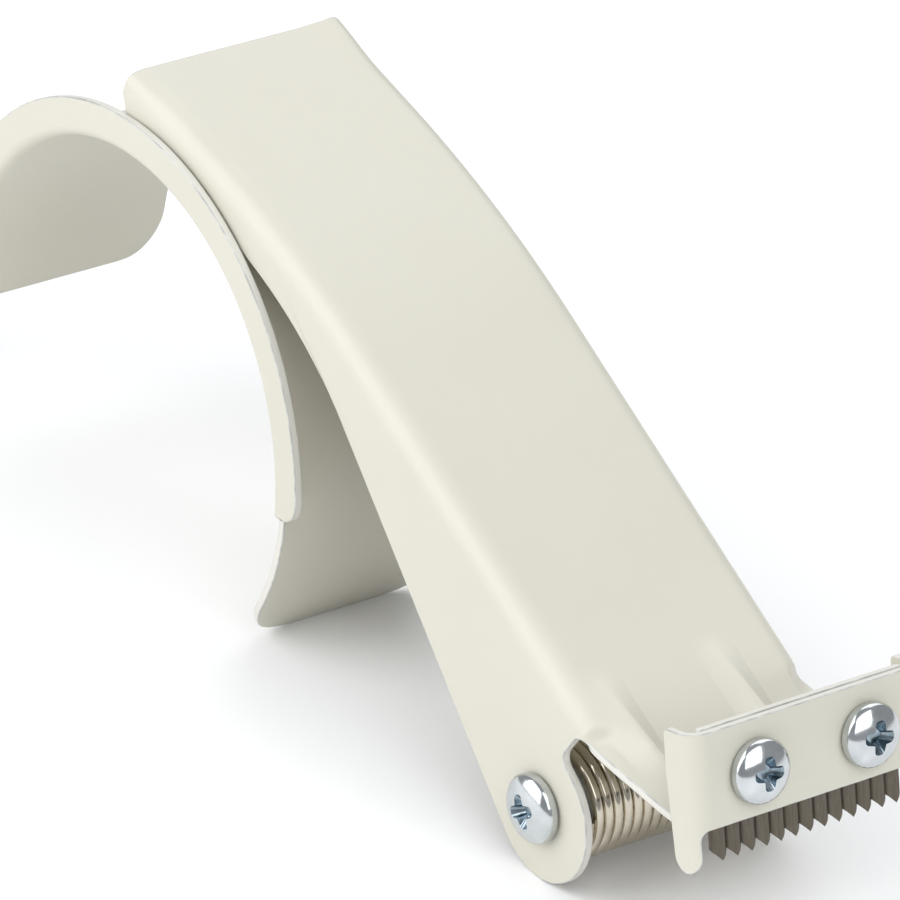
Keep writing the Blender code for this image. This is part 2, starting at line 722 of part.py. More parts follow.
# Pan-head screws with a cross recess
def cross_outline(span, width, distance, direction, twist):
    half = width / 2
    reach = span / 2
    quarter = [(reach, -half), (reach, half), (half, half)]
    turn = Vector((0, 0, 1)).rotation_difference(direction).to_matrix()
    points = []
    for k in range(4):
        spin = Matrix.Rotation(twist + math.pi / 2 * k, 3, "Z")
        points += [turn @ (spin @ Vector((x, y, distance))) for x, y in quarter]
    return points


def pan_screw(name, seat, outward, head, length, twist):
    """A screw whose head stands on its seat and whose shank runs the other way."""
    profile = [(SHANK_RADIUS - SCREW_TIP, -length), (SHANK_RADIUS, SCREW_TIP - length)]
    profile.append((SHANK_RADIUS, 0.0))
    profile += [(head - GAP, 0.0), (head, GAP), (head, HEAD_CROWN)]
    dome = HEAD_HEIGHT - HEAD_CROWN
    for i in range(1, DOME_STEPS):
        a = math.pi / 2 * i / DOME_STEPS
        profile.append((head * math.cos(a), HEAD_CROWN + dome * math.sin(a)))
    made = piece(name, turned(profile, outward), seat, (ZINC, 0.25, 1.0))
    floor = HEAD_HEIGHT - RECESS_DEPTH
    low = cross_outline(RECESS_FLOOR_SPAN, RECESS_FLOOR_WIDTH, floor, outward, twist)
    high = cross_outline(RECESS_SPAN, RECESS_WIDTH, HEAD_HEIGHT + GAP, outward, twist)
    recess = cutter(name + "_recess", loft([low, high]))
    recess.location = seat
    combine(made, recess, "DIFFERENCE")
    return made


def screws():
    shank = TAB_BACK + BOSS_LENGTH + GAP
    for name, across, twist in zip(("near", "far"), screw_places(), BLADE_SCREW_TURNS):
        seat = face_point(-GAP, across, SCREW_HEIGHT)
        pan_screw("blade_screw_" + name, seat, -INTO_FACE, BLADE_HEAD_RADIUS, shank, twist)
    near_seat = Vector((AXLE.x, ARM_NEAR - GAP, AXLE.z))
    far_seat = Vector((AXLE.x, ARM_FAR + GAP, AXLE.z))
    for name, seat, way in (("near", near_seat, -ACROSS), ("far", far_seat, ACROSS)):
        own = "axle_screw_" + name
        pan_screw(own, seat, way, AXLE_HEAD_RADIUS, AXLE_SCREW_LENGTH, AXLE_SCREW_TURN)


# Roller: a close coil turning with its core on a clamped tapped shaft
def roller_shaft():
    half = ARM_WIDTH / 2 - SHEET - GAP
    bore = SHANK_RADIUS + GAP
    bottom = AXLE_SCREW_LENGTH + GAP
    profile = [(bore, bottom - half), (bore, -half), (SHAFT_RADIUS, -half)]
    profile += [(SHAFT_RADIUS, half), (bore, half), (bore, half - bottom)]
    look = (ZINC, 0.3, 1.0)
    return piece("roller_shaft", turned(profile, ACROSS, BORE_SIDES), AXLE, look)


def roller_core():
    half = COIL_TURNS * COIL_PITCH / 2 + WIRE_RADIUS
    bore = SHAFT_RADIUS + RUNNING_FIT
    sections = []
    for i in range(BORE_SIDES):
        a = 2 * math.pi * i / BORE_SIDES
        outline = ((bore, -half), (CORE_RADIUS, -half), (CORE_RADIUS, half), (bore, half))
        sections.append([Vector((r * math.cos(a), y, r * math.sin(a))) for r, y in outline])
    return piece("roller_core", loft(sections, ring=True), AXLE, (NYLON, 0.5, 0.0))


def roller_coil():
    """One unbroken wire wound from ear to ear round the axle."""
    winding = COIL_RADIUS - WIRE_RADIUS
    count = COIL_TURNS * POINTS_PER_TURN
    start = -COIL_TURNS * COIL_PITCH / 2
    points = []
    for i in range(count + 1):
        a = 2 * math.pi * i / POINTS_PER_TURN
        along = start + COIL_PITCH * i / POINTS_PER_TURN
        points.append(Vector((winding * math.cos(a), along, winding * math.sin(a))))
    least = min(
        (points[i] - points[j]).length
        for i in range(POINTS_PER_TURN, len(points))
        for j in range(i - POINTS_PER_TURN * 3 // 2, i - POINTS_PER_TURN // 2)
        if j >= 0
    )
    print("least gap of the coil to itself, mm:", round((least - 2 * WIRE_RADIUS) / MM, 3))
    curve = bpy.data.curves.new("roller_coil", "CURVE")
    curve.dimensions = "3D"
    curve.bevel_depth = WIRE_RADIUS
    curve.bevel_resolution = 1
    curve.use_fill_caps = True
    line = curve.splines.new("POLY")
    line.points.add(count)
    for slot, point in zip(line.points, points):
        slot.co = (*point, 1.0)
    curve.materials.append(material("roller_coil", NICKEL, 0.22, 1.0))
    made = bpy.data.objects.new("roller_coil", curve)
    bpy.context.scene.collection.objects.link(made)
    made.location = AXLE
    made.parent = root
    return made


def stand_up():
    """Lean the root back to rest and put the footprint's centre at the origin."""
    heel = heading(HUB_LOWER_END) * HUB_OUTER
    span = EAR_CENTRE - heel
    slope = math.atan2(span.y, span.x) - math.asin(EAR_RADIUS / span.length)
    root.rotation_euler = (0.0, slope, 0.0)
    bpy.context.view_layer.update()
    ready = bpy.context.evaluated_depsgraph_get()
    low = Vector((math.inf, math.inf, math.inf))
    high = -low
    for item in bpy.context.scene.objects:
        if item.type == "EMPTY" or item.hide_render:
            continue
        shown = item.evaluated_get(ready)
        mesh = shown.to_mesh()
        for vertex in mesh.vertices:
            place = shown.matrix_world @ vertex.co
            low = Vector(map(min, low, place))
            high = Vector(map(max, high, place))
        shown.to_mesh_clear()
    root.location = (-(low.x + high.x) / 2, -(low.y + high.y) / 2, -low.z)
    bpy.context.view_layer.update()


core_hub()
arm()
blade_guard()
cutting_blade()
screws()
roller_shaft()
roller_core()
roller_coil()
stand_up()
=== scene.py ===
"""A hand-held strapping tape dispenser in cream enamelled sheet steel, dressed piece by piece."""
import math

import bmesh
import bpy
from mathutils import Matrix, Vector
from mathutils.geometry import interpolate_bezier


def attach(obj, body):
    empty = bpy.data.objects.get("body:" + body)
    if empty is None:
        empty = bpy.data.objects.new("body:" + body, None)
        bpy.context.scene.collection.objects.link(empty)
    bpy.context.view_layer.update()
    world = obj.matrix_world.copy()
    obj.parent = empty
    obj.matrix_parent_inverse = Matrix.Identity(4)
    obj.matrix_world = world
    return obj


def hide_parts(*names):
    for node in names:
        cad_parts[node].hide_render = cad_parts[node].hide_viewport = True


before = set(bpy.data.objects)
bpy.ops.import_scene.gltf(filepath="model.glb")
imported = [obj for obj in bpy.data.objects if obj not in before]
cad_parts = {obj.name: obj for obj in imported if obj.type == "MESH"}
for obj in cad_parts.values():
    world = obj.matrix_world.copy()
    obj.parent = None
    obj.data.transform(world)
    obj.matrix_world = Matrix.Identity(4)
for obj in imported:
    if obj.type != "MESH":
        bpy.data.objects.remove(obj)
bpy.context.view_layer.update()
MM = 0.001

# How the tool stands. It is drawn with the hub's centre as origin and the blade forward, then
# it leans back until it rests on the hub's lower end and on the two ears at the roller. Each
# mesh below is drawn upright and takes that lean before it is finished.
STAND = Matrix.Translation((-47.164 * MM, -19.8 * MM, 23.689 * MM)) @ Matrix.Rotation(
    math.radians(-7.5984), 4, "Y")

# Viewpoint. A long lens looks at the tool from the blade's end and the rimmed side, a little
# from above, so that edges which are parallel on the tool stay nearly parallel.
VIEW_TURN = math.radians(53.63)
VIEW_RISE = math.radians(23.71)
VIEW_FROM = (46.79 * MM, -7.14 * MM, 1245.46 * MM)
VIEW_AHEAD = 0.6 * MM
LENS = 353.0
SENSOR = 36.0
SEES_TO = 10.0

view_right = Vector((math.cos(VIEW_TURN), math.sin(VIEW_TURN), 0.0))
view_back = Vector((
    math.sin(VIEW_TURN) * math.cos(VIEW_RISE),
    -math.cos(VIEW_TURN) * math.cos(VIEW_RISE),
    math.sin(VIEW_RISE)))
view_up = view_back.cross(view_right)
view_place = view_right * VIEW_FROM[0] + view_up * VIEW_FROM[1] + view_back * VIEW_FROM[2]
view_place.x += VIEW_AHEAD
lens = bpy.data.cameras.new("long_lens")
lens.sensor_width = SENSOR
lens.lens = LENS
lens.clip_end = SEES_TO
camera = bpy.data.objects.new("long_lens", lens)
bpy.context.scene.collection.objects.link(camera)
camera.matrix_world = STAND @ Matrix.LocRotScale(
    view_place, Matrix((view_right, view_up, view_back)).transposed(), None)
bpy.context.scene.camera = camera

# Sprung core hub. A band of spring steel rolled into an open C that grips the bore of a tape
# core, its near edge flanged outward into a rim that stops the core. Band, rim and their cut
# edges are under one coat of cream enamel.
SHEET = 1.2 * MM
HUB_INNER = 37.8 * MM
HUB_OUTER = HUB_INNER + SHEET
HUB_FAR = 34.0 * MM
HUB_NEAR = 1.7 * MM
HUB_ENDS = (math.radians(-45.0), math.radians(177.2))
RIM_ENDS = (math.radians(-6.5), math.radians(158.0))
RIM_REACH = HUB_OUTER + 4.6 * MM
RIM_ROLL = 0.4 * MM + SHEET
RIM_END_ROUND = 3.7 * MM
FAR_CORNER = 7.4 * MM
NEAR_CORNERS = (8.2 * MM, 3.0 * MM)
EDGE_ROUND = 0.18 * MM
EDGE_ROUND_STEPS = 2
HUB_TURN_STEPS = (50, 150, 30)
BAND_STRIPS = 16
RIM_ROLL_STRIPS = 8
RIM_STRIPS = 4
PULL_TO_MARKS = 0.85
HAIR = 0.01 * MM
CREAM = ((0.575, 0.555, 0.468), (0.605, 0.585, 0.50))
CREAM_WITH_EDGE_HIGHLIGHT = ((0.64, 0.625, 0.56), (0.68, 0.665, 0.605))
GREY_EDGE_REFLECTION = ((0.37, 0.37, 0.36), (0.60, 0.60, 0.56))


def node_group(name, inputs, outputs):
    """An empty shader node group with named sockets, and its input and output nodes."""
    group = bpy.data.node_groups.new(name, "ShaderNodeTree")
    for title, value in inputs:
        group.interface.new_socket(
            title, in_out="INPUT", socket_type="NodeSocketFloat").default_value = value
    for title, kind in outputs:
        group.interface.new_socket(title, in_out="OUTPUT", socket_type=kind)
    return group, group.nodes.new("NodeGroupInput"), group.nodes.new("NodeGroupOutput")


def add_node(tree, kind, inputs, **settings):
    """One node of a tree, its inputs fed by numbers, colours or other nodes' sockets."""
    node = tree.nodes.new("ShaderNode" + kind)
    for key, value in settings.items():
        setattr(node, key, value)
    for key, source in inputs.items():
        if isinstance(source, bpy.types.NodeSocket):
            tree.links.new(source, node.inputs[key])
        else:
            node.inputs[key].default_value = source
    return node


def blotch_group():
    """Slow drift of a coat over a surface: a mask from 0 to 1 in patches of a given size."""
    group, given, out = node_group(
        "coat_drift",
        [("Size", 20 * MM), ("Contrast", 1.0)],
        [("Mask", "NodeSocketFloat")])
    place = add_node(group, "TexCoord", {})
    scale = add_node(group, "Math", {0: 1.0, 1: given.outputs["Size"]}, operation="DIVIDE")
    noise = add_node(group, "TexNoise", {
        "Vector": place.outputs["Object"], "Scale": scale.outputs[0],
        "Detail": 3.0, "Roughness": 0.55})
    centred = add_node(group, "Math", {0: noise.outputs["Fac"], 1: 0.5}, operation="SUBTRACT")
    mask = add_node(
        group, "Math", {0: centred.outputs[0], 1: given.outputs["Contrast"], 2: 0.5},
        operation="MULTIPLY_ADD", use_clamp=True)
    group.links.new(mask.outputs[0], out.inputs["Mask"])
    return group


def skin_group():
    """The skin of a sprayed or plated coat: fine peel over slow waves, as one height."""
    group, given, out = node_group(
        "coat_skin",
        [("Peel Size", 1.2 * MM), ("Peel", 0.1), ("Wave Size", 20 * MM), ("Wave", 1.0)],
        [("Height", "NodeSocketFloat")])
    place = add_node(group, "TexCoord", {})
    height = 0.0
    for size, weight in (("Wave Size", "Wave"), ("Peel Size", "Peel")):
        scale = add_node(group, "Math", {0: 1.0, 1: given.outputs[size]}, operation="DIVIDE")
        noise = add_node(group, "TexNoise", {
            "Vector": place.outputs["Object"], "Scale": scale.outputs[0], "Detail": 1.0})
        height = add_node(
            group, "Math", {0: noise.outputs["Fac"], 1: given.outputs[weight], 2: height},
            operation="MULTIPLY_ADD").outputs[0]
    group.links.new(height, out.inputs["Height"])
    return group


COAT_DRIFT = blotch_group()
COAT_SKIN = skin_group()


def look(name, roughness, metallic, coat=0.0, coat_roughness=0.1):
    """A material whose plain values stand on the shader itself."""
    made = bpy.data.materials.new(name)
    made.use_nodes = True
    shader = made.node_tree.nodes["Principled BSDF"]
    shader.inputs["Roughness"].default_value = roughness
    shader.inputs["Metallic"].default_value = metallic
    shader.inputs["Coat Weight"].default_value = coat
    shader.inputs["Coat Roughness"].default_value = coat_roughness
    return made, made.node_tree, shader


def mixed(tree, share, tints):
    """A colour between two tints."""
    dark, light = tints
    return add_node(
        tree, "Mix", {"Factor": share, "A": (*dark, 1.0), "B": (*light, 1.0)},
        data_type="RGBA").outputs["Result"]


def drifting(tree, shader, tints, size, contrast, rough):
    """Colour and roughness that drift together between two values each."""
    drift = add_node(tree, "Group", {"Size": size, "Contrast": contrast}, node_tree=COAT_DRIFT)
    mask = drift.outputs["Mask"]
    span = add_node(tree, "MapRange", {"Value": mask, "To Min": rough[0], "To Max": rough[1]})
    tree.links.new(mixed(tree, mask, tints), shader.inputs["Base Color"])
    tree.links.new(span.outputs["Result"], shader.inputs["Roughness"])


def skinned(tree, shader, peel_size, peel, wave_size, depth):
    """The coat's peel and waves as the shader's normal."""
    skin = add_node(
        tree, "Group", {"Peel Size": peel_size, "Peel": peel, "Wave Size": wave_size},
        node_tree=COAT_SKIN)
    bump = add_node(
        tree, "Bump", {"Height": skin.outputs["Height"], "Strength": 1.0, "Distance": depth})
    tree.links.new(bump.outputs["Normal"], shader.inputs["Normal"])


def enamel(name, tints, rough):
    """Sprayed and stoved enamel: a satin colour under a faint gloss, with a little peel."""
    made, tree, shader = look(
        name, roughness=rough[0], metallic=0.0, coat=0.12, coat_roughness=0.25)
    drifting(tree, shader, tints, size=30 * MM, contrast=1.8, rough=rough)
    skinned(tree, shader, peel_size=0.9 * MM, peel=0.06, wave_size=14 * MM, depth=0.05 * MM)
    return made


ENAMEL = enamel("cream_enamel", CREAM, rough=(0.38, 0.48))
# The cut edges' lighter cream is a painted highlight along the sheet's edge strips.
CUT_EDGE_HIGHLIGHT = enamel("enamel_cut_edge_painted_highlight", CREAM_WITH_EDGE_HIGHLIGHT, rough=(0.36, 0.44))


def painted_edge_reflection():
    """A grey line painted on the rounded sheared corners: a painted reflection along each edge."""
    made, tree, shader = look("painted_reflection_on_corner", roughness=0.4, metallic=0.0, coat=0.3)
    drifting(tree, shader, GREY_EDGE_REFLECTION, size=3 * MM, contrast=3.0, rough=(0.3, 0.45))
    return made


EDGE_REFLECTION_PAINT = painted_edge_reflection()


def eased(marks, counts):
    """Places between marks, crowded towards each mark so that round corners stay round."""
    places = [marks[0]]
    for low, high, count in zip(marks, marks[1:], counts):
        for i in range(1, count + 1):
            wave = math.sin(2 * math.pi * i / count) / (2 * math.pi)
            share = i / count - PULL_TO_MARKS * wave
            places.append(low + (high - low) * share)
    return places


def corner_cut(from_end, radius):
    """How far a round corner draws a sheet's edge in at this distance from its end."""
    short = radius - min(max(from_end, 0.0), radius)
    return radius - math.sqrt(radius ** 2 - short ** 2)


def face_outward(bm, way):
    """Turns an open skin over if its outermost face along a direction looks back."""
    last = max(bm.faces, key=lambda face: face.calc_center_median().dot(way))
    if last.normal.dot(way) < 0:
        bmesh.ops.reverse_faces(bm, faces=bm.faces)


def placed(name, bm, looks):
    """A bmesh drawn upright, leant back as the tool stands and made an object."""
    bm.transform(STAND)
    mesh = bpy.data.meshes.new(name)
    bm.to_mesh(mesh)
    bm.free()
    mesh.shade_smooth()
    for coat in looks:
        mesh.materials.append(coat)
    made = bpy.data.objects.new(name, mesh)
    bpy.context.scene.collection.objects.link(made)
    return made


def bake_modifiers(piece):
    """Turns what a piece's modifiers make of it into its own mesh."""
    shown = piece.evaluated_get(bpy.context.evaluated_depsgraph_get())
    old, piece.data = piece.data, bpy.data.meshes.new_from_object(shown)
    piece.modifiers.clear()
    bpy.data.meshes.remove(old)


def even_shading(piece):
    """Lets broad faces set the shading, so that narrow rounded edges don't bow them."""
    weigh = piece.modifiers.new("broad_faces_flat", "WEIGHTED_NORMAL")
    weigh.weight = 100
    weigh.keep_sharp = True


def round_edges(bm, edges):
    """Softens a sheet's sheared edges and gives the rounding a painted grey reflection line."""
    bmesh.ops.bevel(
        bm, geom=edges, offset=EDGE_ROUND, segments=EDGE_ROUND_STEPS, profile=0.5,
        affect="EDGES", material=2)


def sheet_metal(name, bm, thickness):
    """A bent skin with its sheet's thickness behind it and its sheared edges softened; the cut
    edges are painted lighter, a painted highlight, and their rounding carries a painted
    reflection.
    """
    made = placed(name, bm, (ENAMEL, CUT_EDGE_HIGHLIGHT, EDGE_REFLECTION_PAINT))
    wall = made.modifiers.new("sheet", "SOLIDIFY")
    wall.thickness = thickness
    wall.offset = -1.0
    wall.use_even_offset = True
    # The rim faces take the cut edges' lighter cream: a painted highlight.
    wall.material_offset_rim = 1
    bake_modifiers(made)
    bm = bmesh.new()
    bm.from_mesh(made.data)
    sheared = [
        edge for edge in bm.edges
        if len({face.material_index for face in edge.link_faces}) == 2]
    round_edges(bm, sheared)
    bm.to_mesh(made.data)
    bm.free()
    even_shading(made)
    return made


def hub_skin():
    """Inner face of the band and near face of the rim, spun round the hub's centre."""
    bm = bmesh.new()
    strips = [i / BAND_STRIPS for i in range(BAND_STRIPS + 1)]
    turns = [math.pi / 2 * i / RIM_ROLL_STRIPS for i in range(RIM_ROLL_STRIPS + 1)]
    line = [(HUB_INNER, HUB_FAR - (HUB_FAR - HUB_NEAR) * share) for share in strips]
    line += [
        (HUB_INNER + RIM_ROLL * (1 - math.cos(a)), RIM_ROLL * (1 - math.sin(a))) for a in turns]
    rolled = line[-1][0]
    line += [
        (rolled + (RIM_REACH - rolled) * i / RIM_STRIPS, 0.0) for i in range(1, RIM_STRIPS + 1)]
    verts = [bm.verts.new((radius, across, 0.0)) for radius, across in line]
    edges = [bm.edges.new(pair) for pair in zip(verts, verts[1:])]
    stations = eased([HUB_ENDS[0], *RIM_ENDS, HUB_ENDS[1]], HUB_TURN_STEPS)
    steps = len(stations) - 1
    swept = HUB_ENDS[1] - HUB_ENDS[0]
    bmesh.ops.rotate(bm, verts=verts, matrix=Matrix.Rotation(-HUB_ENDS[0], 3, "Y"))
    bmesh.ops.spin(bm, geom=verts + edges, axis=(0, -1, 0), angle=swept, steps=steps)
    lower_corner, rear_corner = NEAR_CORNERS
    bare = []
    for vert in bm.verts:
        spun = math.atan2(vert.co.z, vert.co.x) - HUB_ENDS[0]
        angle = stations[round(spun / swept * steps)]
        radius = math.hypot(vert.co.x, vert.co.z)
        across = vert.co.y
        from_end = HUB_OUTER * min(angle - HUB_ENDS[0], HUB_ENDS[1] - angle)
        from_rim = min(angle - RIM_ENDS[0], RIM_ENDS[1] - angle)
        if across > HUB_NEAR - HAIR:
            share = (HUB_FAR - across) / (HUB_FAR - HUB_NEAR)
            far = HUB_FAR - corner_cut(from_end, FAR_CORNER)
            corner = rear_corner if angle > math.pi / 2 else lower_corner
            near = HUB_NEAR + corner_cut(from_end, corner)
            across = far + (near - far) * share
        elif from_rim < -HAIR / HUB_OUTER:
            bare.append(vert)
        elif radius > rolled:
            reach = RIM_REACH - corner_cut(RIM_REACH * from_rim, RIM_END_ROUND)
            radius = rolled + (radius - rolled) * (reach - rolled) / (RIM_REACH - rolled)
        vert.co = Vector((radius * math.cos(angle), across, radius * math.sin(angle)))
    bmesh.ops.delete(bm, geom=bare, context="VERTS")
    bm.normal_update()
    face_outward(bm, Vector((0, -1, 0)))
    return bm


core_hub = sheet_metal("core_hub_sheet", hub_skin(), SHEET)
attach(core_hub, "frame")
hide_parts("core_hub")

# Pressed arm. One blank of sheet steel, folded down along both sides into a channel and
# lying over the tape roll; the folds run out into the flat plate before the blade, where
# two pressed darts stiffen the dip, and the plate's end turns up into the blade's tab.
GAP = 0.3 * MM
ARM_NEAR = SHEET + GAP
ARM_WIDTH = 36.6 * MM
ARM_FAR = ARM_NEAR + ARM_WIDTH
ARM_MIDDLE = ARM_NEAR + ARM_WIDTH / 2
ARM_BEND = 3.5 * MM
REAR_FLARE = 0.55 * MM
REAR_FLARE_RUN = 10.0 * MM
REAR_LIFT = 0.8 * MM
REAR_LIFT_SPAN = 1.4
ARM_REAR = Vector((2.6 * MM, 49.9 * MM))
CROWN_PITCH = math.radians(-20.8)
SLOPE_PITCH = math.radians(-34.1)
PLATE_PITCH = math.radians(-10.5)
CROWN_LENGTH = 40.5 * MM
SLOPE_LENGTH = 88.8 * MM
TOP_RADII = (180.0 * MM, 6.0 * MM, 2.0 * MM, 1.6 * MM, 0.53 * MM)
TOP_STEPS = (24, 12, 14, 6, 5)
WALL_LAP = HUB_OUTER + 2.5 * MM
FAR_LIP = ARM_BEND + 0.6 * MM
EAR = Vector((98.1 * MM, -26.9 * MM))
EAR_RADIUS = 10.0 * MM
EAR_FINISH = math.radians(46.0)
WALL_PITCH = math.radians(-51.3)
LAP_START = math.radians(87.5)
WALL_LEAVES_RIM = math.radians(63.0)
WALL_CURVE = 60.0 * MM
FAR_CURVE = 20.0 * MM
NOTCH_RADIUS = 1.8 * MM
NOTCH_RISE = math.radians(50.0)
APEX_ROUND = 1.2 * MM
APEX_START = 0.134
FLARE_ROWS_END = 18.0 * MM
LAP_ROWS_END = 62.0 * MM
EAR_RUN = 80.0 * MM
NOTCH_RUN = 84.0 * MM
WALL_END_RUN = 121.5 * MM
FLAT_RUN = 138.0 * MM
EDGE_FLAT_IN = 2.6 * MM
EDGE_REACH = 6.0 * MM
PLATE_INSET = 0.5 * MM
TAB_INSET = 1.4 * MM
TAB_TAPER_RUN = 12.0 * MM
FOLD_PULL = 0.55
FLARED_PULL = 0.85
FOLD_STRIPS = 10
DART_MIDDLE = ARM_MIDDLE - 2.9 * MM
DART_SPACING = 19.0 * MM
DART_RISE_RUN = 13.8 * MM
DART_FALL_RUN = 11.6 * MM
DART_HALF_WIDTH = 3.3 * MM
DART_CREST_ROUND = 0.35 * MM
DART_HOLLOW = 1.15
DART_STRIPS = 9
FACE_LEAN = math.radians(6.8)
FACE_FOOT = Vector((133.7 * MM, 0.0, -15.9 * MM))
UP_FACE = Vector((-math.sin(FACE_LEAN), 0.0, math.cos(FACE_LEAN)))
INTO_FACE = Vector((-math.cos(FACE_LEAN), 0.0, -math.sin(FACE_LEAN)))
ACROSS = Vector((0, 1, 0))
BLADE_FRONT = SHEET + GAP
BLADE_BACK = BLADE_FRONT + 0.6 * MM
TAB_BACK = BLADE_BACK + GAP + SHEET
JOGGLE_BACK = BLADE_FRONT + SHEET
JOGGLE_HEIGHT = 11.8 * MM
JOGGLE_ANGLE = math.radians(50.0)
GUARD_HEIGHT = 13.6 * MM
REAR_STEPS = (6, 26, 10)
EAR_STEPS = 44
NOTCH_STEPS = 30
PLATE_STEPS = (6, 40)
WALL_ROUND_STEPS = 24
LIP_ROUND_STEPS = 16
LIP_ROWS_ROUNDED = 4
NOTCH_ROUND_STEPS = 12
SAME_PLACE = 0.004 * MM


def face_point(depth, across, height):
    """A place on the cutting face: depth behind the guard's front, across, height up it."""
    return FACE_FOOT + INTO_FACE * depth + ACROSS * across + UP_FACE * height


def flat(point):
    """A place as seen from the side."""
    return Vector((point.x, point.z))


def heading(angle):
    """The side-view direction at an angle above the level."""
    return Vector((math.cos(angle), math.sin(angle)))


def arc_points(centre, radius, start, end, steps):
    """Points along an arc in the side view, both ends included."""
    return [centre + heading(start + (end - start) * i / steps) * radius for i in range(steps + 1)]


def crossing(first, first_way, second, second_way):
    """Where two side-view lines meet, each given by a point and a direction."""
    across = first_way.cross(second_way)
    return first + first_way * ((second - first).cross(second_way) / across)


def rounded(corners, radii, steps):
    """A side-view path through corner points, each inner corner on its own arc."""
    path = [corners[0]]
    for before, corner, after, radius, count in zip(
        corners, corners[1:], corners[2:], radii, steps
    ):
        come = (corner - before).normalized()
        go = (after - corner).normalized()
        turn = come.angle_signed(go)
        reach = radius * abs(math.tan(turn / 2))
        side = -1.0 if turn > 0 else 1.0
        centre = corner - come * reach + Vector((-come.y, come.x)) * side * radius
        spoke = corner - come * reach - centre
        for i in range(count + 1):
            spun = spoke.copy()
            spun.rotate(Matrix.Rotation(-turn * i / count, 2))
            path.append(centre + spun)
    path.append(corners[-1])
    return path


def lengths(path):
    """Running length at each point of a path."""
    total = [0.0]
    for before, after in zip(path, path[1:]):
        total.append(total[-1] + (after - before).length)
    return total


def point_at(path, run, distance):
    """The point of a path at a running length."""
    for i in range(1, len(path)):
        if distance <= run[i] or i == len(path) - 1:
            share = (distance - run[i - 1]) / (run[i] - run[i - 1])
            return path[i - 1].lerp(path[i], min(max(share, 0.0), 1.0))


def resampled(path, shares):
    """Points of a path at shares of its length."""
    run = lengths(path)
    return [point_at(path, run, run[-1] * share) for share in shares]


def spread(start, end, count):
    """Even places after the start, up to and with the end."""
    return [start + (end - start) * (i + 1) / count for i in range(count)]


def spread_along(marks, counts):
    """Places from the first mark to the last, even between each two marks."""
    places = [marks[0]]
    for start, end, count in zip(marks, marks[1:], counts):
        places += spread(start, end, count)
    return places


def smooth_share(value):
    """A share from 0 to 1 that leaves 0 and reaches 1 softly."""
    share = min(max(value, 0.0), 1.0)
    return share * share * (3 - 2 * share)


CROWN = ARM_REAR + heading(CROWN_PITCH) * CROWN_LENGTH
DIP = CROWN + heading(SLOPE_PITCH) * SLOPE_LENGTH


def arm_top_line():
    """Side-view path of the arm's top face, from its rear end to the tab's top."""
    tab_low = flat(face_point(TAB_BACK, 0, 0))
    foot = crossing(DIP, heading(PLATE_PITCH), tab_low, flat(UP_FACE))
    joggle = flat(face_point(TAB_BACK, 0, JOGGLE_HEIGHT))
    run = (TAB_BACK - JOGGLE_BACK) / math.tan(JOGGLE_ANGLE)
    above = flat(face_point(JOGGLE_BACK, 0, JOGGLE_HEIGHT + run))
    top = flat(face_point(JOGGLE_BACK, 0, GUARD_HEIGHT))
    return rounded([ARM_REAR, CROWN, DIP, foot, joggle, above, top], TOP_RADII, TOP_STEPS)


TOP_LINE = arm_top_line()
TOP_RUN = lengths(TOP_LINE)
CROWN_TURN = CROWN_PITCH - SLOPE_PITCH
CROWN_SHORTER = TOP_RADII[0] * (2 * math.tan(CROWN_TURN / 2) - CROWN_TURN)
DIP_RUN = CROWN_LENGTH + SLOPE_LENGTH - CROWN_SHORTER
REAR_RUNS = spread_along((0.0, FLARE_ROWS_END, LAP_ROWS_END, EAR_RUN), REAR_STEPS)
WALL_RUNS = REAR_RUNS + spread(EAR_RUN, NOTCH_RUN, EAR_STEPS)
WALL_RUNS += spread(NOTCH_RUN, WALL_END_RUN - GAP, NOTCH_STEPS)
PLATE_RUNS = spread_along(
    (WALL_END_RUN, WALL_END_RUN + APEX_ROUND, DIP_RUN + DART_FALL_RUN), PLATE_STEPS)
PLATE_RUNS += [run for run in TOP_RUN if run > PLATE_RUNS[-1] + GAP]


def station(run):
    """The top line's place at a running length, and the way out of the sheet there."""
    low = point_at(TOP_LINE, TOP_RUN, max(run - SHEET / 10, 0.0))
    high = point_at(TOP_LINE, TOP_RUN, min(run + SHEET / 10, TOP_RUN[-1]))
    way = (high - low).normalized()
    return point_at(TOP_LINE, TOP_RUN, run), Vector((-way.y, way.x))


def edge_depth(run, point, normal):
    """How far below the top line the plate's edge lies, the notch's rounded apex with it."""
    plate_way = heading(PLATE_PITCH)
    drop = (point - DIP).cross(plate_way) / normal.cross(plate_way)
    drop += corner_cut(run - WALL_END_RUN + APEX_START * APEX_ROUND, APEX_ROUND)
    return drop if run < DIP_RUN + EDGE_FLAT_IN else 0.0


EAR_FOOT = EAR + heading(WALL_PITCH - math.pi / 2) * EAR_RADIUS
WALL_WAY = heading(WALL_PITCH)


def near_wall_edge():
    """Near wall's lower edge: lapped over the rim, then straight down to the ear."""
    lap = arc_points(Vector((0, 0)), WALL_LAP, LAP_START, WALL_LEAVES_RIM, WALL_ROUND_STEPS)
    bend = crossing(lap[-1], heading(WALL_LEAVES_RIM - math.pi / 2), EAR_FOOT, WALL_WAY)
    path = lap[:-1] + rounded([lap[-1], bend, EAR_FOOT], [WALL_CURVE], [WALL_ROUND_STEPS])
    return resampled(path, [run / EAR_RUN for run in REAR_RUNS])


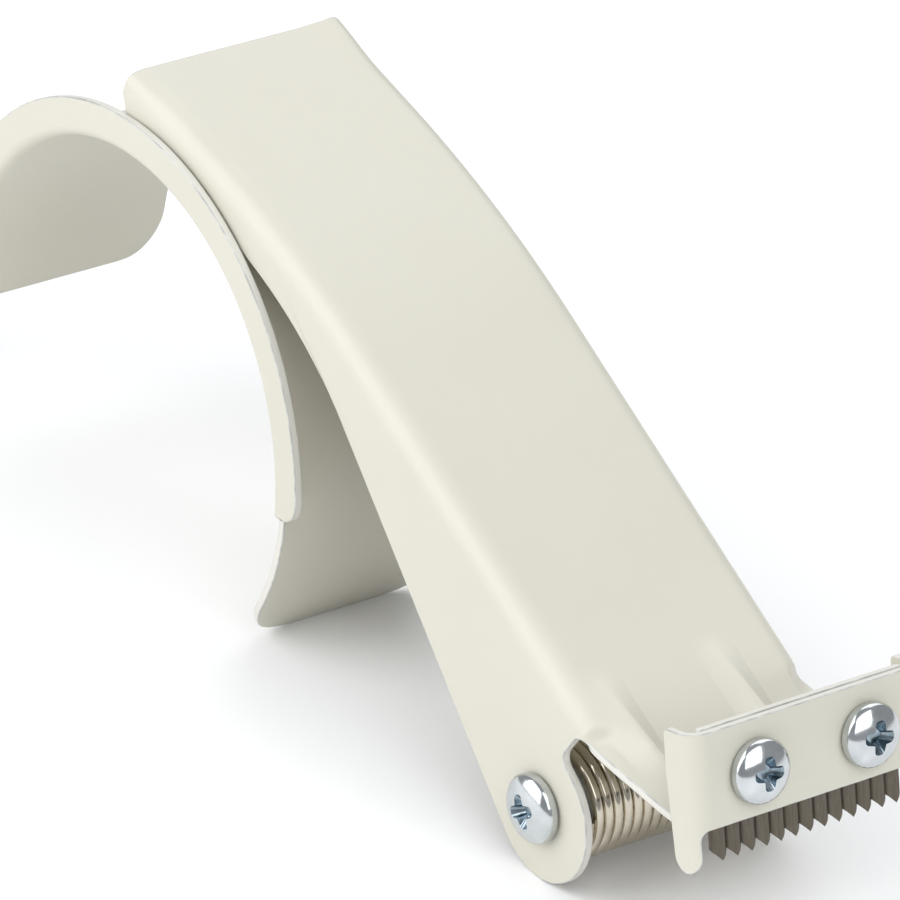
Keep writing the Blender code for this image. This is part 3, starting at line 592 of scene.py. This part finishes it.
def far_wall_edge():
    """Far wall's lower edge: a shallow lip under the fold, then straight down to the ear."""
    lip = [point - normal * FAR_LIP for point, normal in map(station, REAR_RUNS)]
    past = next(i for i, point in enumerate(lip) if (point - EAR_FOOT).cross(WALL_WAY) <= 0)
    corner = crossing(lip[past - 1], lip[past] - lip[past - 1], EAR_FOOT, WALL_WAY)
    start = past - LIP_ROWS_ROUNDED
    path = rounded([lip[start], corner, EAR_FOOT], [FAR_CURVE], [LIP_ROUND_STEPS])
    left = REAR_RUNS[-1] - REAR_RUNS[start]
    shares = [(run - REAR_RUNS[start]) / left for run in REAR_RUNS[start:]]
    return lip[:start] + resampled(path, shares)


def ear_edge():
    """Round the ear and up through the relief notch to where the plate's edge begins."""
    ear = arc_points(EAR, EAR_RADIUS, WALL_PITCH - math.pi / 2, EAR_FINISH, EAR_STEPS)
    last, last_normal = station(WALL_END_RUN)
    apex = last - last_normal * edge_depth(WALL_END_RUN, last, last_normal)
    notch = crossing(ear[-1], heading(EAR_FINISH + math.pi / 2), apex, heading(NOTCH_RISE))
    path = rounded([ear[-1], notch, apex], [NOTCH_RADIUS], [NOTCH_ROUND_STEPS])
    return ear + resampled(path, spread(0.0, 1.0, NOTCH_STEPS))


def fold_state(run, point, normal):
    """The fold at a row: its free edge's inset and depth, how far it has opened, its reach."""
    if run < WALL_END_RUN:
        return 0.0, ARM_BEND, 0.0, ARM_BEND
    opened = smooth_share((run - WALL_END_RUN) / EDGE_FLAT_IN)
    inset = PLATE_INSET * opened
    inset += (TAB_INSET - PLATE_INSET) * smooth_share((run - FLAT_RUN) / TAB_TAPER_RUN)
    to_dip = (run - WALL_END_RUN) / (DIP_RUN - WALL_END_RUN)
    reach = ARM_BEND - inset + (EDGE_REACH - ARM_BEND) * smooth_share(to_dip)
    return inset, edge_depth(run, point, normal), opened, reach


def edge_fall(across, inset, depth, reach):
    """How far the opened fold has fallen below the top's line at this place across."""
    return depth * smooth_share(1 - (across - inset) / reach)


def fold_columns(inset, depth, opened, reach, flare):
    """A fold as (across, depth) from its free edge to the flat: closed at 0, opened at 1.

    A flare of 1 spreads its free edge outward, as at the arm's rear end."""
    pull = FOLD_PULL + (FLARED_PULL - FOLD_PULL) * flare
    edge, flat_start = Vector((inset, depth)), Vector((ARM_BEND, 0.0))
    low = edge - Vector((0.0, pull * depth))
    high = flat_start - Vector((pull * (ARM_BEND - inset), 0.0))
    columns = []
    for k, closed in enumerate(interpolate_bezier(edge, low, high, flat_start, FOLD_STRIPS + 1)):
        across = inset + (ARM_BEND - inset) * k / FOLD_STRIPS
        open_place = Vector((across, edge_fall(across, inset, depth, reach)))
        place = closed.to_2d().lerp(open_place, opened)
        place.x -= REAR_FLARE * flare * (1 - place.x / ARM_BEND)
        columns.append(place)
    return columns


def row_across(state, flare):
    """A row of the skin as (across, depth): near fold, both darts' strips, far fold."""
    inset, depth, opened, reach = state
    row = [(ARM_NEAR + y, low) for y, low in fold_columns(*state, flare)]
    for crest in (DART_MIDDLE - DART_SPACING / 2, DART_MIDDLE + DART_SPACING / 2):
        room = min(DART_HALF_WIDTH, crest - ARM_NEAR - ARM_BEND)
        for k in range(-DART_STRIPS, DART_STRIPS + 1):
            place = crest + (DART_HALF_WIDTH if k > 0 else room) * k / DART_STRIPS
            from_side = min(place - ARM_NEAR, ARM_FAR - place)
            row.append((place, opened * edge_fall(from_side, inset, depth, reach)))
    return row + [(ARM_FAR - y, low) for y, low in reversed(fold_columns(*state, 0.0))]


SLOPE_END = station(DIP_RUN - DART_RISE_RUN)[0]
PLATE_END = station(DIP_RUN + DART_FALL_RUN)[0]


def dart_lift(point, across):
    """How far a dart raises the sheet at one place of the dip."""
    chord = (PLATE_END - SLOPE_END).normalized()
    rise = Vector((-chord.y, chord.x)).dot(SLOPE_END - point)
    from_crest = abs(abs(across - DART_MIDDLE) - DART_SPACING / 2)
    fall = math.hypot(from_crest, DART_CREST_ROUND) - DART_CREST_ROUND
    whole = math.hypot(DART_HALF_WIDTH, DART_CREST_ROUND) - DART_CREST_ROUND
    inside = SLOPE_END.x < point.x < PLATE_END.x
    return max(rise, 0.0) * max(1 - fall / whole, 0.0) ** DART_HOLLOW if inside else 0.0


def arm_skin():
    """The arm's outer skin: a grid laid along the top line and across the folded width."""
    ear = ear_edge()
    near = near_wall_edge()[:-1] + ear
    far = far_wall_edge()[:-1] + ear
    rows = []
    for i, run in enumerate(WALL_RUNS + PLATE_RUNS):
        point, normal = station(run)
        flare = 1 - smooth_share(run / REAR_FLARE_RUN)
        row = []
        for y, depth in row_across(fold_state(run, point, normal), flare):
            lift = dart_lift(point, y) - depth
            lift += REAR_LIFT * flare * smooth_share(REAR_LIFT_SPAN - (ARM_FAR - y) / ARM_BEND)
            place = point + normal * lift
            row.append(Vector((place.x, y, place.y)))
        walls = [row[0], row[-1]]
        if i < len(WALL_RUNS):
            walls = [
                Vector((near[i].x, ARM_NEAR, near[i].y)), Vector((far[i].x, ARM_FAR, far[i].y))]
        rows.append([walls[0], *row, walls[1]])
    bm = bmesh.new()
    long, wide = len(rows) - 1, len(rows[0]) - 1
    bmesh.ops.create_grid(bm, x_segments=long, y_segments=wide, size=1.0)
    for vert in bm.verts:
        i = round((vert.co.x + 1) / 2 * long)
        j = round((vert.co.y + 1) / 2 * wide)
        vert.co = rows[i][j]
    bmesh.ops.remove_doubles(bm, verts=bm.verts, dist=SAME_PLACE)
    bm.normal_update()
    face_outward(bm, Vector((0, 0, 1)))
    return bm


arm = sheet_metal("arm_sheet", arm_skin(), SHEET)
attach(arm, "frame")
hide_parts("arm")

# Cutting blade. Hardened strip clamped between guard and tab: flat where the screws hold it,
# pressed into flutes below, so that its ground lower edge ends in a row of sharp points.
BLADE_STOCK = 0.6 * MM
BLADE_TOP = 10.8 * MM
BLADE_DROP = 5.2 * MM
TOOTH_PITCH = 2.44 * MM
TEETH = 13
TOOTH_DEPTH = 1.3 * MM
FLUTE_START = 0.8 * MM
FLUTE_FULL = -0.8 * MM
FLUTE_DEPTH = 0.55 * MM
CREST_FORWARD = 0.2 * MM
GROUND_RISE = 0.6 * MM
CREST_FULLNESS = 2.5
FLANK_STRIPS = 4
BLADE_STEPS = (6, 10)
TOOTH_STEPS = 10
BLADE_CREASE = math.radians(28.0)
GROUND_FACES_DOWN = -0.3
OILED_STEEL = ((0.078, 0.066, 0.050), (0.20, 0.178, 0.142))
BARE_STEEL = ((0.42, 0.40, 0.36), (0.56, 0.54, 0.50))
STREAKS_PER_METRE = (400.0, 6000.0, 400.0)


def blade_steel():
    """Dark oiled tool steel with the fine upright marks of its rolling and grinding."""
    made, tree, shader = look("dark_blade_steel", roughness=0.36, metallic=0.9)
    place = add_node(tree, "TexCoord", {})
    stretch = add_node(
        tree, "Mapping", {"Vector": place.outputs["Object"], "Scale": STREAKS_PER_METRE})
    streaks = add_node(
        tree, "TexNoise", {"Vector": stretch.outputs["Vector"], "Scale": 1.0, "Detail": 3.0})
    mark = streaks.outputs["Fac"]
    span = add_node(tree, "MapRange", {"Value": mark, "To Min": 0.28, "To Max": 0.46})
    bump = add_node(tree, "Bump", {"Height": mark, "Strength": 0.5, "Distance": 0.01 * MM})
    tree.links.new(mixed(tree, mark, OILED_STEEL), shader.inputs["Base Color"])
    tree.links.new(span.outputs["Result"], shader.inputs["Roughness"])
    tree.links.new(bump.outputs["Normal"], shader.inputs["Normal"])
    return made


def ground_steel():
    """Bare steel where the teeth are ground."""
    made, tree, shader = look("ground_edge_steel", roughness=0.25, metallic=1.0)
    drifting(tree, shader, BARE_STEEL, size=0.4 * MM, contrast=3.0, rough=(0.2, 0.35))
    return made


def blade_strip():
    """A flat grid moved into flutes, then given its stock and its ground edge."""
    wide = 2 * TEETH * FLANK_STRIPS
    heights = eased((BLADE_TOP, FLUTE_START, FLUTE_FULL), BLADE_STEPS)
    long = len(heights) - 1 + TOOTH_STEPS
    bm = bmesh.new()
    bmesh.ops.create_grid(bm, x_segments=wide, y_segments=long, size=1.0)
    near = ARM_MIDDLE - TEETH * TOOTH_PITCH / 2
    lowest = []
    for vert in bm.verts:
        i = round((vert.co.x + 1) / 2 * wide)
        j = round((1 - vert.co.y) / 2 * long)
        crest = 1 - abs(i / FLANK_STRIPS % 2 - 1)
        tip = TOOTH_DEPTH * (1 - crest) - BLADE_DROP
        forward = 1 - (1 - crest) ** CREST_FULLNESS
        depth = FLUTE_DEPTH - (FLUTE_DEPTH + CREST_FORWARD) * forward
        if j < len(heights):
            height = heights[j]
        else:
            height = FLUTE_FULL + (tip - FLUTE_FULL) * (j - len(heights) + 1) / TOOTH_STEPS
        depth *= smooth_share((FLUTE_START - height) / (FLUTE_START - FLUTE_FULL))
        if j == long:
            lowest.append(vert)
        across = near + TOOTH_PITCH / 2 * i / FLANK_STRIPS
        vert.co = face_point(BLADE_FRONT + depth, across, height)
    grown = bmesh.ops.extrude_face_region(bm, geom=bm.faces[:])["geom"]
    behind = [item for item in grown if isinstance(item, bmesh.types.BMVert)]
    bmesh.ops.translate(bm, verts=behind, vec=INTO_FACE * BLADE_STOCK)
    edge = {vert.co.to_tuple(6) for vert in lowest}
    raised = [
        vert for vert in behind if (vert.co - INTO_FACE * BLADE_STOCK).to_tuple(6) in edge]
    bmesh.ops.translate(bm, verts=raised, vec=UP_FACE * GROUND_RISE)
    bmesh.ops.recalc_face_normals(bm, faces=bm.faces)
    for face in bm.faces:
        face.material_index = int(face.normal.dot(UP_FACE) < GROUND_FACES_DOWN)
    return bm


blade = placed("blade_strip", blade_strip(), (blade_steel(), ground_steel()))
blade.data.set_sharp_from_angle(angle=BLADE_CREASE)
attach(blade, "frame")
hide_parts("cutting_blade")

# Blade guard. A strip of the same enamelled sheet blanked flat with its two round prongs,
# then bent back at both ends round the tab. It covers the blade and its prongs reach below.
GUARD_WIDTH = 39.4 * MM
GUARD_NEAR = ARM_MIDDLE - GUARD_WIDTH / 2
GUARD_BEND = 3.0 * MM
WING_DEPTH = 5.9 * MM
WING_TAPER = 0.8 * MM
WING_CORNER = 0.8 * MM
PRONG_RADIUS = 2.45 * MM
PRONG_DROP = 6.1 * MM
NECK_FILLET = 1.5 * MM
CORNER_STEPS = 6
PRONG_STEPS = 24
NECK_STEPS = 8
BEND_STEPS = 10
WING_STRAIGHT = WING_DEPTH - GUARD_BEND
GUARD_LENGTH = GUARD_WIDTH - 2 * GUARD_BEND + 2 * WING_STRAIGHT + math.pi * GUARD_BEND


def guard_bent(run, under, height):
    """Where a point of the flat blank comes to lie once both its ends are bent back."""
    from_end = min(run, GUARD_LENGTH - run)
    turned_by = min(max((from_end - WING_STRAIGHT) / GUARD_BEND, 0.0), math.pi / 2)
    radius = GUARD_BEND - under
    depth = GUARD_BEND - radius * math.sin(turned_by)
    across = GUARD_BEND - radius * math.cos(turned_by)
    depth += max(WING_STRAIGHT - from_end, 0.0)
    across += max(from_end - WING_STRAIGHT - GUARD_BEND * math.pi / 2, 0.0)
    if run > GUARD_LENGTH / 2:
        across = GUARD_WIDTH - across
    return face_point(depth, GUARD_NEAR + across, height)


def guard_blank():
    """The strip's flat outline, given its thickness, rounded edges and its bends."""
    shoulder = PRONG_RADIUS - PRONG_DROP
    prong = Vector((WING_TAPER + PRONG_RADIUS, shoulder))
    neck = Vector((prong.x + PRONG_RADIUS + NECK_FILLET, -NECK_FILLET))
    corner = Vector((WING_CORNER, GUARD_HEIGHT - WING_CORNER))
    half = arc_points(corner, WING_CORNER, math.pi / 2, math.pi, CORNER_STEPS)
    half += [Vector((0.0, GUARD_HEIGHT / 2))]
    half += arc_points(prong, PRONG_RADIUS, math.pi, 2 * math.pi, PRONG_STEPS)
    half += arc_points(neck, NECK_FILLET, math.pi, math.pi / 2, NECK_STEPS)
    other = [Vector((GUARD_LENGTH - point.x, point.y)) for point in reversed(half)]
    bm = bmesh.new()
    bm.faces.new([bm.verts.new((*point, 0.0)) for point in half + other])
    grown = bmesh.ops.extrude_face_region(bm, geom=bm.faces[:])["geom"]
    under = [item for item in grown if isinstance(item, bmesh.types.BMVert)]
    bmesh.ops.translate(bm, verts=under, vec=(0, 0, SHEET))
    bmesh.ops.recalc_face_normals(bm, faces=bm.faces)
    # The blank's edge faces take the cut edges' lighter cream: a painted highlight.
    for face in bm.faces:
        face.material_index = int(abs(face.normal.z) < 0.5)
    round_edges(
        bm, [edge for edge in bm.edges if abs(edge.verts[0].co.z - edge.verts[1].co.z) < HAIR])
    bent = GUARD_BEND * math.pi / 2
    bends = [WING_STRAIGHT + bent * i / BEND_STEPS for i in range(BEND_STEPS + 1)]
    for cut in bends + [GUARD_LENGTH - bend for bend in bends]:
        bmesh.ops.bisect_plane(
            bm, geom=bm.verts[:] + bm.edges[:] + bm.faces[:], plane_co=(cut, 0, 0),
            plane_no=(1, 0, 0))
    for vert in bm.verts:
        vert.co = guard_bent(vert.co.x, vert.co.z, vert.co.y)
    bmesh.ops.recalc_face_normals(bm, faces=bm.faces)
    return bm


# The guard's cut edges carry the same painted highlight and painted reflection as the arm's.
guard = placed("guard_strip", guard_blank(), (ENAMEL, CUT_EDGE_HIGHLIGHT, EDGE_REFLECTION_PAINT))
even_shading(guard)
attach(guard, "frame")
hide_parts("blade_guard")

# Screws. Zinc-plated pan heads with a cross recess: two clamp guard, blade and tab together
# into bosses on the tab's back, and two more hold the roller's shaft between the ears.
SHANK_RADIUS = 2.3 * MM
SCREW_TIP = 0.6 * MM
SHAFT_SCREW_LENGTH = 11.0 * MM
GUARD_HEAD = 4.5 * MM
SHAFT_HEAD = 4.95 * MM
HEAD_HEIGHT = 2.9 * MM
HEAD_CROWN = 0.9 * MM
HEAD_FOOT_ROUND = 0.25 * MM
RECESS_DEPTH = 1.7 * MM
RECESS_TOP = (5.9 * MM, 1.5 * MM)
RECESS_FLOOR = (2.2 * MM, 1.0 * MM)
RECESS_ROOT = 1.35
RECESS_END_ROUND = 0.45 * MM
RECESS_END_STEPS = 5
DOME_STEPS = 14
FOOT_STEPS = 4
SCREW_SIDES = 72
CREASE = math.radians(32.0)
SCREW_HEIGHT = 6.5 * MM
SCREW_SPACING = 18.5 * MM
GUARD_SCREWS = ((-1, "near", math.radians(-3.0)), (1, "far", math.radians(-6.0)))
SHAFT_SCREW_TURN = math.radians(20.0)
BOSS_RADIUS = 3.7 * MM
BOSS_LENGTH = 1.5 * MM
AXLE = Vector((97.5 * MM, ARM_MIDDLE, -26.2 * MM))
ZINC_TINTS = ((0.51, 0.54, 0.55), (0.655, 0.68, 0.69))
RECESS_SHADE_TINTS = ((0.07, 0.105, 0.13), (0.52, 0.61, 0.67))


def plated(name, tints, rough, depth):
    """Plate metal whose colour drifts between two tints, over faint waves; in the recess and on
    the coil those tints carry painted shade.
    """
    made, tree, shader = look(name, roughness=rough[0], metallic=1.0)
    drifting(tree, shader, tints, size=2.5 * MM, contrast=2.0, rough=rough)
    skinned(tree, shader, peel_size=0.25 * MM, peel=0.15, wave_size=1.6 * MM, depth=depth)
    return made


ZINC = plated("bright_zinc_plate", ZINC_TINTS, rough=(0.10, 0.20), depth=0.02 * MM)
# The cross recess is painted dark blue with lighter patches: painted shade and painted reflection
# in the hollow.
PAINTED_RECESS_SHADE = plated("painted_shade_in_recess", RECESS_SHADE_TINTS, rough=(0.12, 0.26), depth=0.03 * MM)


def facing_turn(way):
    """The turn that points +Z along a direction."""
    return Vector((0, 0, 1)).rotation_difference(way).to_matrix().to_4x4()


def turned(bm, profile, sides):
    """Spins a (radius, height) profile round +Z into a closed turned shape."""
    verts = [bm.verts.new((radius, 0.0, height)) for radius, height in profile]
    edges = [bm.edges.new(pair) for pair in zip(verts, verts[1:])]
    bmesh.ops.spin(
        bm, geom=verts + edges, axis=(0, 0, 1), angle=2 * math.pi, steps=sides, use_merge=True)
    bmesh.ops.remove_doubles(bm, verts=bm.verts, dist=SAME_PLACE)
    bmesh.ops.recalc_face_normals(bm, faces=bm.faces)


def cross_driver():
    """The cross recess as a solid: tapered, wider at the arms' roots, round at their ends."""
    bm = bmesh.new()
    rings = []
    levels = (HEAD_HEIGHT - RECESS_DEPTH, HEAD_HEIGHT + GAP)
    for (span, width), level in zip((RECESS_FLOOR, RECESS_TOP), levels):
        end, half, root = span / 2, width / 2, width / 2 * RECESS_ROOT
        ring = []
        for quarter in range(4):
            spin = Matrix.Rotation(math.pi / 2 * quarter, 3, "Z")
            for x, y in ((end, -half), (end, half), (root, root)):
                ring.append(bm.verts.new(spin @ Vector((x, y, level))))
        rings.append([bm.edges.new((a, b)) for a, b in zip(ring, ring[1:] + ring[:1])])
        bm.faces.new(ring)
    bmesh.ops.bridge_loops(bm, edges=rings[0] + rings[1])
    bmesh.ops.recalc_face_normals(bm, faces=bm.faces)
    reach = RECESS_TOP[0] / 2 - HAIR
    ends = [
        edge for edge in bm.edges
        if edge.verts[0].co.z != edge.verts[1].co.z
        and any(max(abs(vert.co.x), abs(vert.co.y)) > reach for vert in edge.verts)]
    bmesh.ops.bevel(
        bm, geom=ends, offset=RECESS_END_ROUND, segments=RECESS_END_STEPS, profile=0.5,
        affect="EDGES", material=-1)
    # The recess faces take the dark blue of painted shade and painted reflection.
    for face in bm.faces:
        face.material_index = 1
    return bm


def cut_from(piece, name, bm):
    """Takes a shape out of a piece for good."""
    mesh = bpy.data.meshes.new(name)
    bm.to_mesh(mesh)
    bm.free()
    tool = bpy.data.objects.new(name, mesh)
    bpy.context.scene.collection.objects.link(tool)
    step = piece.modifiers.new(name, "BOOLEAN")
    step.operation = "DIFFERENCE"
    step.object = tool
    step.solver = "EXACT"
    bake_modifiers(piece)
    bpy.data.objects.remove(tool, do_unlink=True)


def pan_screw(name, node, seat, outward, head, shank, twist):
    """One screw whose head stands on its seat and whose shank runs the other way."""
    dome = HEAD_HEIGHT - HEAD_CROWN
    foot, tip = HEAD_FOOT_ROUND, SCREW_TIP
    profile = [(0.0, -shank), (SHANK_RADIUS - tip, -shank), (SHANK_RADIUS, tip - shank)]
    profile += [(SHANK_RADIUS, 0.0), (head - foot, 0.0)]
    turns = [math.pi / 2 * i / FOOT_STEPS for i in range(1, FOOT_STEPS + 1)]
    profile += [(head - foot * (1 - math.sin(a)), foot * (1 - math.cos(a))) for a in turns]
    turns = [math.pi / 2 * i / DOME_STEPS for i in range(DOME_STEPS)]
    profile += [(head * math.cos(a), HEAD_CROWN + dome * math.sin(a)) for a in turns]
    profile += [(0.0, HEAD_HEIGHT)]
    place = Matrix.Translation(seat) @ facing_turn(outward) @ Matrix.Rotation(twist, 4, "Z")
    bm = bmesh.new()
    turned(bm, profile, SCREW_SIDES)
    bm.transform(place)
    screw = placed(name, bm, (ZINC, PAINTED_RECESS_SHADE))
    driver = cross_driver()
    driver.transform(STAND @ place)
    cut_from(screw, name + "_driver", driver)
    screw.data.shade_smooth()
    screw.data.set_sharp_from_angle(angle=CREASE)
    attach(screw, "frame")
    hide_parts(node)


for side, name, twist in GUARD_SCREWS:
    across = ARM_MIDDLE + side * SCREW_SPACING / 2
    pan_screw(
        "guard_screw_" + name, "blade_screw_" + name, face_point(-GAP, across, SCREW_HEIGHT),
        -INTO_FACE, GUARD_HEAD, TAB_BACK + BOSS_LENGTH + GAP, twist)
for side, name, across in ((-1, "near", ARM_NEAR - GAP), (1, "far", ARM_FAR + GAP)):
    pan_screw(
        "shaft_screw_" + name, "axle_screw_" + name, Vector((AXLE.x, across, AXLE.z)),
        ACROSS * side, SHAFT_HEAD, SHAFT_SCREW_LENGTH, SHAFT_SCREW_TURN)

# Bosses. Two short collars on the tab's back, tapped for the guard's screws and enamelled
# with the arm.
BOSS_LIP = 0.25 * MM
BOSS_SIDES = 48

for side, name, _ in GUARD_SCREWS:
    hole = SHANK_RADIUS + GAP
    profile = [(hole, 0.0), (hole, BOSS_LENGTH - BOSS_LIP), (hole + BOSS_LIP, BOSS_LENGTH)]
    profile += [(BOSS_RADIUS - BOSS_LIP, BOSS_LENGTH), (BOSS_RADIUS, BOSS_LENGTH - BOSS_LIP)]
    profile += [(BOSS_RADIUS, 0.0), (hole, 0.0)]
    bm = bmesh.new()
    turned(bm, profile, BOSS_SIDES)
    seat = face_point(TAB_BACK, ARM_MIDDLE + side * SCREW_SPACING / 2, SCREW_HEIGHT)
    bm.transform(Matrix.Translation(seat) @ facing_turn(INTO_FACE))
    boss = placed("tab_boss_" + name, bm, (ENAMEL,))
    boss.data.set_sharp_from_angle(angle=CREASE)
    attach(boss, "frame")

# Roller. A close-wound coil of nickel-plated wire pressed onto a plain moulded core, which
# turns on the shaft clamped between the ears; the tape's sticky face runs over the coil.
COIL_RADIUS = 8.7 * MM
COIL_WIRE = 0.8 * MM
COIL_LENGTH = 33.3 * MM
COIL_PITCH = 1.64 * MM
STEPS_PER_TURN = 44
WIRE_SIDES = 14
COIL_CREASE = math.radians(60.0)
# The coil's tints are nickel's own warm colour, darkened further as painted shade for the dark
# underside of the arm above the coil.
COIL_NICKEL_AND_SHADE_TINTS = ((0.52, 0.47, 0.38), (0.66, 0.61, 0.51))
NYLON_TINTS = ((0.50, 0.50, 0.47), (0.60, 0.60, 0.56))

COIL_NICKEL_AND_SHADE = plated("nickel_plate_with_painted_shade", COIL_NICKEL_AND_SHADE_TINTS, rough=(0.10, 0.20), depth=0.004 * MM)


def wound_coil():
    """A wire's round section carried round and along the axle, its two ends closed."""
    run = COIL_LENGTH - 2 * COIL_WIRE
    steps = round(run / COIL_PITCH * STEPS_PER_TURN)
    bm = bmesh.new()
    bmesh.ops.create_circle(bm, segments=WIRE_SIDES, radius=COIL_WIRE)
    bmesh.ops.translate(bm, verts=bm.verts, vec=(COIL_RADIUS - COIL_WIRE, -run / 2, 0))
    bmesh.ops.spin(
        bm, geom=bm.verts[:] + bm.edges[:], axis=(0, 1, 0), dvec=(0, run / steps, 0),
        angle=2 * math.pi * run / COIL_PITCH, steps=steps)
    bmesh.ops.holes_fill(bm, edges=[edge for edge in bm.edges if edge.is_boundary], sides=0)
    bmesh.ops.recalc_face_normals(bm, faces=bm.faces)
    bm.transform(Matrix.Translation(AXLE))
    return bm


coil = placed("roller_wire", wound_coil(), (COIL_NICKEL_AND_SHADE,))
coil.data.set_sharp_from_angle(angle=COIL_CREASE)
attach(coil, "roller")
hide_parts("roller_coil")


def moulded_nylon():
    """Plain pale nylon with the dull skin of its mould."""
    made, tree, shader = look("plain_moulded_nylon", roughness=0.5, metallic=0.0)
    drifting(tree, shader, NYLON_TINTS, size=4 * MM, contrast=2.0, rough=(0.42, 0.58))
    skinned(tree, shader, peel_size=0.3 * MM, peel=0.3, wave_size=3 * MM, depth=0.01 * MM)
    return made


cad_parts["roller_core"].material_slots[0].material = moulded_nylon()
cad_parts["roller_shaft"].material_slots[0].material = ZINC

# Studio. A plain pale floor under a pale sky, one broad soft light on the rimmed side and a
# weaker one behind, as such a tool is photographed for a price list.
FLOOR_SPAN = 6.0
BOX_SPAN = 1.2
BOXES_LOOK_AT = Vector((0.0, 0.0, 30 * MM))
PAPER_TINTS = ((0.90, 0.90, 0.90), (0.93, 0.93, 0.93))
SKY_TINT = (0.94, 0.96, 1.0)
SKY_STRENGTH = 0.42


def paper_floor():
    """Pale unglazed paper, a little uneven."""
    made, tree, shader = look("pale_paper", roughness=0.9, metallic=0.0)
    drifting(tree, shader, PAPER_TINTS, size=300 * MM, contrast=1.0, rough=(0.85, 0.95))
    return made


bm = bmesh.new()
bmesh.ops.create_grid(bm, x_segments=1, y_segments=1, size=FLOOR_SPAN / 2)
mesh = bpy.data.meshes.new("studio_floor")
bm.to_mesh(mesh)
bm.free()
mesh.materials.append(paper_floor())
floor = bpy.data.objects.new("studio_floor", mesh)
bpy.context.scene.collection.objects.link(floor)

world = bpy.data.worlds.new("studio_air")
world.use_nodes = True
air = world.node_tree.nodes["Background"]
air.inputs["Color"].default_value = (*SKY_TINT, 1.0)
air.inputs["Strength"].default_value = SKY_STRENGTH
bpy.context.scene.world = world
bpy.context.scene.view_settings.view_transform = "Standard"


def soft_box(name, place, power, tint):
    """A square soft box that looks at the middle of the tool."""
    data = bpy.data.lights.new(name, "AREA")
    data.size = BOX_SPAN
    data.energy = power
    data.color = tint
    light = bpy.data.objects.new(name, data)
    bpy.context.scene.collection.objects.link(light)
    way = BOXES_LOOK_AT - Vector(place)
    aim = way.to_track_quat("-Z", "Y").to_matrix().to_4x4()
    light.matrix_world = Matrix.Translation(place) @ aim


soft_box("rim_side_box", place=(-0.35, -0.9, 0.6), power=11.0, tint=(0.985, 0.99, 1.0))
soft_box("blade_side_box", place=(0.9, -0.1, 0.9), power=10.5, tint=(0.96, 0.98, 1.0))
soft_box("back_box", place=(-0.6, 0.7, 1.0), power=6.5, tint=(1.0, 1.0, 1.0))
